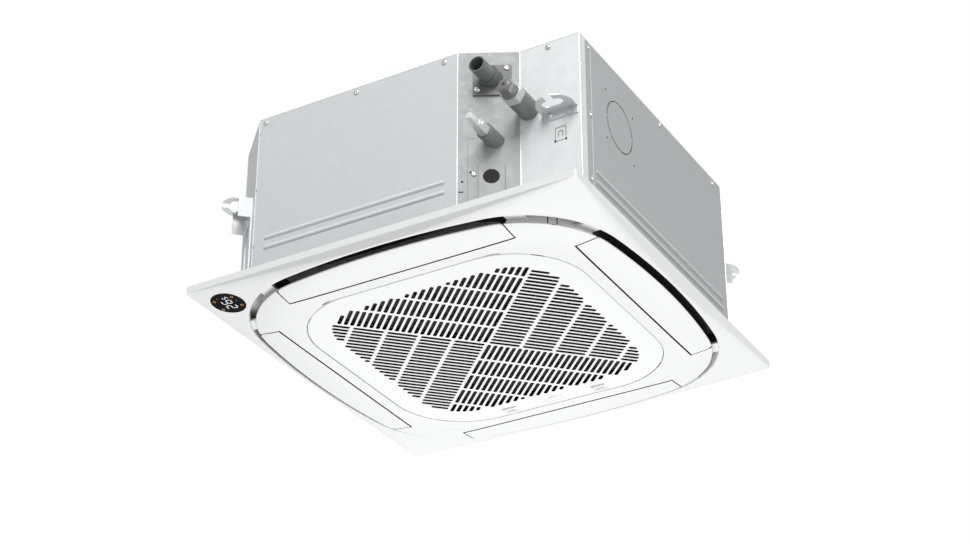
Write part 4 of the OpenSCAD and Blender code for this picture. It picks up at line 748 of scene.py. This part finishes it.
def digit_bars(figure, width, height, bar):
    """Outlines of the bars of a seven-bar figure about its own centre, x to the right and y up."""
    w, h = width / 2, height / 2
    ends = {"a": ((-w, h), (w, h)), "b": ((w, h), (w, 0)), "c": ((w, 0), (w, -h)), "d": ((-w, -h), (w, -h)),
            "e": ((-w, 0), (-w, -h)), "f": ((-w, h), (-w, 0)), "g": ((-w, 0), (w, 0))}
    out = []
    for name in SEGMENTS[figure]:
        p, q = (np.array(e, float) for e in ends[name])
        d = (q - p) / np.linalg.norm(q - p)
        n = np.array([-d[1], d[0]]) * bar / 2
        p, q = p + d * bar * 0.35, q - d * bar * 0.35
        tip = d * bar / 2
        out.append(np.array([p, p + tip + n, q - tip + n, q, q - tip - n, p + tip - n]))
    return out


def display_frame():
    """Centre and axes of the round window: x is read from left to right and y upwards, z towards the room.

    The window lies in the rim's sloping underside, which falls 8.9 on its way in from the rim's corner. Its face
    lies 0.9 off the middle of its box.
    """
    run = (RIM_HALF - (CORNER_AT + CORNER_R / math.sqrt(2))) * math.sqrt(2) - 3.2
    slope = math.atan2(19.5 - 10.6, run)
    low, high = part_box("display_window")
    centre = (np.array(low) + np.array(high)) / 2 / MM
    inward = np.array([math.cos(slope) / math.sqrt(2), math.cos(slope) / math.sqrt(2), -math.sin(slope)])
    across = np.array([-1, 1, 0]) / math.sqrt(2)
    down = -np.cross(inward, across)
    right = -(inward + across) / math.sqrt(2)
    return centre + down * 0.9, right, np.cross(down, right), down


def build_display():
    """Raised bars of the figures, rings for the lamps and small ellipses for the dim marks, all on the window.

    Each figure is given by its digit, centre, width, height and bar. A lamp's ring is twelve strips on a circle.
    """
    lamp_r = 1.9
    centre, right, up, down = display_frame()
    parts = []
    for figure, x, y, w, h, bar in (("2", -9.6, 0.2, 7.8, 15.5, 1.25), ("6", 3.4, 0.2, 7.8, 15.5, 1.25),
                                    ("5", 13.6, -3.6, 4.4, 7.6, 0.9)):
        for outline in digit_bars(figure, w, h, bar):
            parts.append(plug(outline + [x, y], centre, right, up, down, 0.06))
    make_piece("display_figures", joined(parts), "lit_white", smooth=False)
    parts = []
    t = np.linspace(0, 2 * np.pi, 25)
    for x, y in ((10.2, 17.1), (13.2, -14.9), (-12.3, 17.2), (-10.4, -16.3)):
        circle = centre + (x + lamp_r * np.cos(t))[:, None] * right + (y + lamp_r * np.sin(t))[:, None] * up
        for a, b in zip(circle[:-1:2], circle[2::2]):
            parts.append(ribbon(line(a, b, 3), 0.7, down, 0.05))
    make_piece("display_lamps", joined(parts), "lit_amber", smooth=False)
    spot = disc(1.4, squash=0.6)
    parts = [plug(spot + at, centre, right, up, down, 0.05) for at in ([15.6, 8.4], [3.0, -16.3])]
    make_piece("display_dim_marks", joined(parts), "dim_grey", smooth=False)


# Louvres, corners of the middle frame, whose edge lies lower and further out than in the solids, and rim wall

def turned(points, angle):
    """Points turned about the Z axis."""
    c, q = math.cos(angle), math.sin(angle)
    return points @ np.array([[c, q, 0], [-q, c, 0], [0, 0, 1]])


def four_times(points, faces):
    """The same skin on each side of the panel, a quarter turn apart."""
    return joined([(turned(points, k * math.pi / 2), faces) for k in range(4)])


def edge_turn(gap):
    """The x at which the bowed edge of a side passes into the arc of the corner, both moved in by gap."""
    return CORNER_AT * (CORNER_R - gap) / (SIDE_R - CORNER_R) + CORNER_AT


def bow(x, gap):
    """The y of the bowed edge: a circle of radius SIDE_R - gap, OPENING - gap from the middle at x = 0."""
    return OPENING - SIDE_R + np.sqrt((SIDE_R - gap) ** 2 - x ** 2)


def edge_line(x):
    """Distance of the frame's edge from the middle, on the circle of the side or else on that of the corner."""
    x = np.abs(x)
    r = CORNER_R - EDGE_GAP
    arc = CORNER_AT + np.sqrt(np.maximum(r * r - (x - CORNER_AT) ** 2, 0))
    return np.where(x < edge_turn(EDGE_GAP), bow(x, EDGE_GAP), arc)


def edge_height(inward):
    """Height of the underside at a distance inward of the edge: a parabola that runs out flat."""
    return LOWEST + EDGE_RISE * np.clip(1 - inward / EDGE_W, 0, 1) ** 2


def darken(obj, in_shade):
    """Gives the shade's material to the faces that in_shade picks by their centre in millimetres and normal."""
    obj.data.materials.append(materials["shade_black"])
    picked = [int(in_shade(np.array(f.center) / MM, np.array(f.normal))) for f in obj.data.polygons]
    obj.data.polygons.foreach_set("material_index", picked)


def build_louvre(side, turn, node):
    """A bowed flap: at each x a closed section from LOUVRE_IN out to a millimetre before the edge.

    Its underside follows edge_height, the upper side lies 2.4 above it, and half an ellipse closes the outer
    side. Over the last 5.5 at either end of the flap its outer side draws in on a circle. Two ribs run along the
    upper side, eight steps short of the ends. At 84.5 to either side of the middle stands a post with a short
    hinge barrel on top, lying along x.
    """
    thick, nose, end_r = 2.4, 1.0, 5.5
    x = LOUVRE_HALF * np.sin(np.linspace(-np.pi / 2, np.pi / 2, 121))
    edge = edge_line(x)
    past = np.maximum(np.abs(x) - (LOUVRE_HALF - end_r), 0)
    tip = edge - (end_r - np.sqrt(np.maximum(end_r * end_r - past ** 2, 0)))
    under_y = LOUVRE_IN + (tip[:, None] - nose - LOUVRE_IN) * np.sin(np.linspace(0, np.pi / 2, 26))
    under_z = edge_height(edge[:, None] - under_y)
    a = np.linspace(-np.pi / 2, np.pi / 2, 9)[1:-1]
    nose_y = under_y[:, -1:] + np.cos(a) * nose
    nose_z = under_z[:, -1:] + thick / 2 + np.sin(a) * thick / 2
    y = np.concatenate([under_y, nose_y, under_y[:, ::-1]], 1)
    z = np.concatenate([under_z, nose_z, under_z[:, ::-1] + thick], 1)
    parts = [shell(np.stack([np.repeat(x[:, None], y.shape[1], 1), y, z], -1))]
    along = x[8:-8]
    for rib in (14.0, 30.0):
        rib_z = edge_height(edge[8:-8] - LOUVRE_IN - rib) + thick + 0.6
        parts.append(bead(np.stack([along, LOUVRE_IN + rib + 0 * along, rib_z], -1), 1.2, 8))
    pin_y, pin_z = LOUVRE_IN + 3.35, -24.2
    for way in (-1, 1):
        parts.append(bead(line((way * 76.0, pin_y, pin_z), (way * 90.0, pin_y, pin_z)), 2.4, 20))
        parts.append(bead(line((way * 84.5, pin_y, pin_z), (way * 84.5, pin_y, LOWEST + 2.0)), 2.0, 16))
    points, faces = joined(parts)
    obj = make_piece(f"{side}_louvre_flap", (turned(points, turn), faces), "panel_white",
                     body=f"{side}_louvre", instead=[node])
    lengthwise = np.array([math.cos(turn), math.sin(turn), 0])
    outwards = np.cross(UP, lengthwise)

    def in_shade(centre, normal):
        inner = centre @ outwards < LOUVRE_IN + 0.2 and centre[2] < LOWEST + 2.6
        end = abs(centre @ lengthwise) > LOUVRE_HALF - 0.35 and abs(normal @ lengthwise) > 0.7
        return inner or end

    darken(obj, in_shade)


def build_frame_corners():
    """Four lipped corner skins: rings at radius r about the corner's centre, between the louvres' openings.

    At each radius the arc ends where it meets the window of the louvre on either side: x over the window's
    half width beyond its inner edge, and y at that inner edge before it. The underside follows edge_height,
    the upper side lies 1.6 above it, and half an ellipse 0.8 long closes the outer end.
    """
    thick, nose, innermost = 1.6, 0.8, 103
    reach, rise = WINDOW_HALF - CORNER_AT, FRAME_EDGE - CORNER_AT
    meet = math.hypot(reach, rise)
    r_out = CORNER_R - EDGE_GAP
    radii = [*np.linspace(innermost, meet, 8), *np.linspace(meet, r_out - nose, 16)[1:]]

    def ring(r, z):
        """An arc about the corner's centre, stopped short of both windows by a two-thousandth of a radian."""
        if r <= rise:
            top = math.pi / 2
        else:
            top = math.asin(rise / r) if r <= meet else math.acos(reach / r)
        t = np.linspace(math.pi / 2 - top + 0.0005, top - 0.0005, 49)
        return np.stack([CORNER_AT + r * np.cos(t), CORNER_AT + r * np.sin(t), np.full(49, float(z))], -1)

    a = np.linspace(-np.pi / 2, np.pi / 2, 7)[1:-1]
    nose_z = edge_height(nose) + thick / 2
    rings = [ring(r, edge_height(r_out - r)) for r in radii]
    rings += [ring(radii[-1] + nose * math.cos(b), nose_z + math.sin(b) * thick / 2) for b in a]
    rings += [ring(r, edge_height(r_out - r) + thick) for r in radii[::-1]]
    skin = four_times(*shell(np.swapaxes(np.array(rings), 0, 1), strips=True))
    obj = make_piece("frame_corner_skins", skin, "panel_white")

    def in_shade(centre, normal):
        small, large = sorted(np.abs(centre[:2]))
        at_window = abs(large - FRAME_EDGE) < 0.8 or (abs(small - WINDOW_HALF) < 0.8 and large > FRAME_EDGE)
        return abs(normal[2]) < 0.5 and at_window

    darken(obj, in_shade)


def build_mouth():
    """The white wall inside the rim's lip: a thin upright band along the bowed opening, one length for each side.

    Each loop follows half a corner's arc, the bow of the side and half the next arc, moved in by its gap.
    """
    loops = []
    for gap, z in ((0.3, -18.9), (1.0, -19.1), (1.5, -18.4), (1.9, -8.0), (0.3, -8.0)):
        r, turn = CORNER_R - gap, edge_turn(gap)
        a = np.linspace(math.pi / 4, math.acos((turn - CORNER_AT) / r), 24)
        arc_x, arc_y = CORNER_AT + r * np.cos(a), CORNER_AT + r * np.sin(a)
        x = np.linspace(turn, -turn, 64)[1:-1]
        x, y = np.concatenate([arc_x, x, -arc_x[::-1]]), np.concatenate([arc_y, bow(x, gap), arc_y[::-1]])
        loops.append(np.stack([x, y, np.full(len(x), z)], -1))
    make_piece("rim_mouth_wall", four_times(*shell(np.stack(loops, 1))), "panel_white")


build_casing_screws()
build_pipe_ends()
build_folds()
build_seams()
build_bright_lines()
build_punched_marks()
build_knockout_mark()
build_display()
for side, turn in (("back", 0), ("left", math.pi / 2), ("front", math.pi), ("right", -math.pi / 2)):
    build_louvre(side, turn, f"louvre_{side}")
build_frame_corners()
build_mouth()


# Camera, light and background

def place_camera():
    """The photograph's view: turned 30 degrees to the right of the front and looking up from 30 degrees below.

    The focal length is that of 2175.6 points in a picture 970 points wide. The place is given by its distances
    to the right of, above and before the part's origin, in the camera's own directions.
    """
    az, el, roll = math.radians(29.925), math.radians(-29.886), math.radians(-0.051)
    sensor, focal, width = 36, 2175.6, 970
    to_right, to_up, away = -3.18, 77.3, 3156.9
    back = np.array([math.sin(az) * math.cos(el), -math.cos(az) * math.cos(el), math.sin(el)])
    level = np.cross(-back, UP)
    level /= np.linalg.norm(level)
    plumb = np.cross(level, -back)
    right = level * math.cos(roll) + plumb * math.sin(roll)
    up = plumb * math.cos(roll) - level * math.sin(roll)
    data = bpy.data.cameras.new("camera")
    data.lens = focal * sensor / width
    data.sensor_width = sensor
    data.clip_end = 50
    cam = bpy.data.objects.new("camera", data)
    m = np.eye(4)
    m[:3] = np.stack([right, up, back, (to_right * right + to_up * up + away * back) * MM], 1)
    cam.matrix_world = Matrix(m.tolist())
    bpy.context.scene.collection.objects.link(cam)
    bpy.context.scene.camera = cam


def soft_lamp(name, place, aim, size, watts):
    """A square area lamp at a place, its face towards aim."""
    data = bpy.data.lights.new(name, "AREA")
    data.energy = watts
    data.size = size
    lamp = bpy.data.objects.new(name, data)
    towards = Vector([a - b for a, b in zip(aim, place)])
    lamp.matrix_world = towards.to_track_quat("-Z", "Y").to_matrix().to_4x4()
    lamp.location = place
    bpy.context.scene.collection.objects.link(lamp)


def white_world(light=0.55):
    """An even pale surround for light and reflections, seen as plain white by the camera and through glass."""
    world = bpy.data.worlds.new("surround")
    world.use_nodes = True
    bpy.context.scene.world = world
    tree = world.node_tree
    pale = tree.nodes["Background"]
    pale.inputs["Color"].default_value = (0.97, 0.985, 1, 1)
    pale.inputs["Strength"].default_value = light
    seen = add(tree, "ShaderNodeBackground", Color=(1, 1, 1, 1), Strength=1.0)
    path = tree.nodes.new("ShaderNodeLightPath")
    direct = math_node(tree, "MAXIMUM", path.outputs["Is Camera Ray"], path.outputs["Is Transmission Ray"])
    mix = tree.nodes.new("ShaderNodeMixShader")
    tree.links.new(direct, mix.inputs[0])
    tree.links.new(pale.outputs[0], mix.inputs[1])
    tree.links.new(seen.outputs[0], mix.inputs[2])
    tree.links.new(mix.outputs[0], tree.nodes["World Output"].inputs["Surface"])


def pale_floor(height=-4.2, radius=9.0):
    """A round pale floor well below the hanging unit: a disc of two rings, the inner one a millimetre wide."""
    t = np.linspace(0, 2 * math.pi, 64, endpoint=False)
    r, t = np.meshgrid([0.001, radius], t, indexing="ij")
    points = np.stack([r * np.cos(t), r * np.sin(t), np.full_like(r, height)], -1)
    mesh = bpy.data.meshes.new("floor")
    mesh.from_pydata(points.reshape(-1, 3).tolist(), [], grid_faces(2, 64))
    m = bpy.data.materials.new("floor_white")
    m.use_nodes = True
    shader = m.node_tree.nodes["Principled BSDF"]
    shader.inputs["Base Color"].default_value = rgb(0.9)
    shader.inputs["Roughness"].default_value = 0.9
    mesh.materials.append(m)
    obj = bpy.data.objects.new("floor", mesh)
    bpy.context.scene.collection.objects.link(obj)


place_camera()
white_world()
pale_floor()
soft_lamp("key", (0.95, -2.5, 1.9), (0, 0, 0.05), 1.6, 66)
soft_lamp("side", (3.0, 0.35, -0.25), (0, 0, 0), 1.4, 27)
soft_lamp("under", (-0.45, 0.95, -1.75), (0, 0, 0), 1.6, 31)

bpy.context.scene.view_settings.view_transform = "Standard"
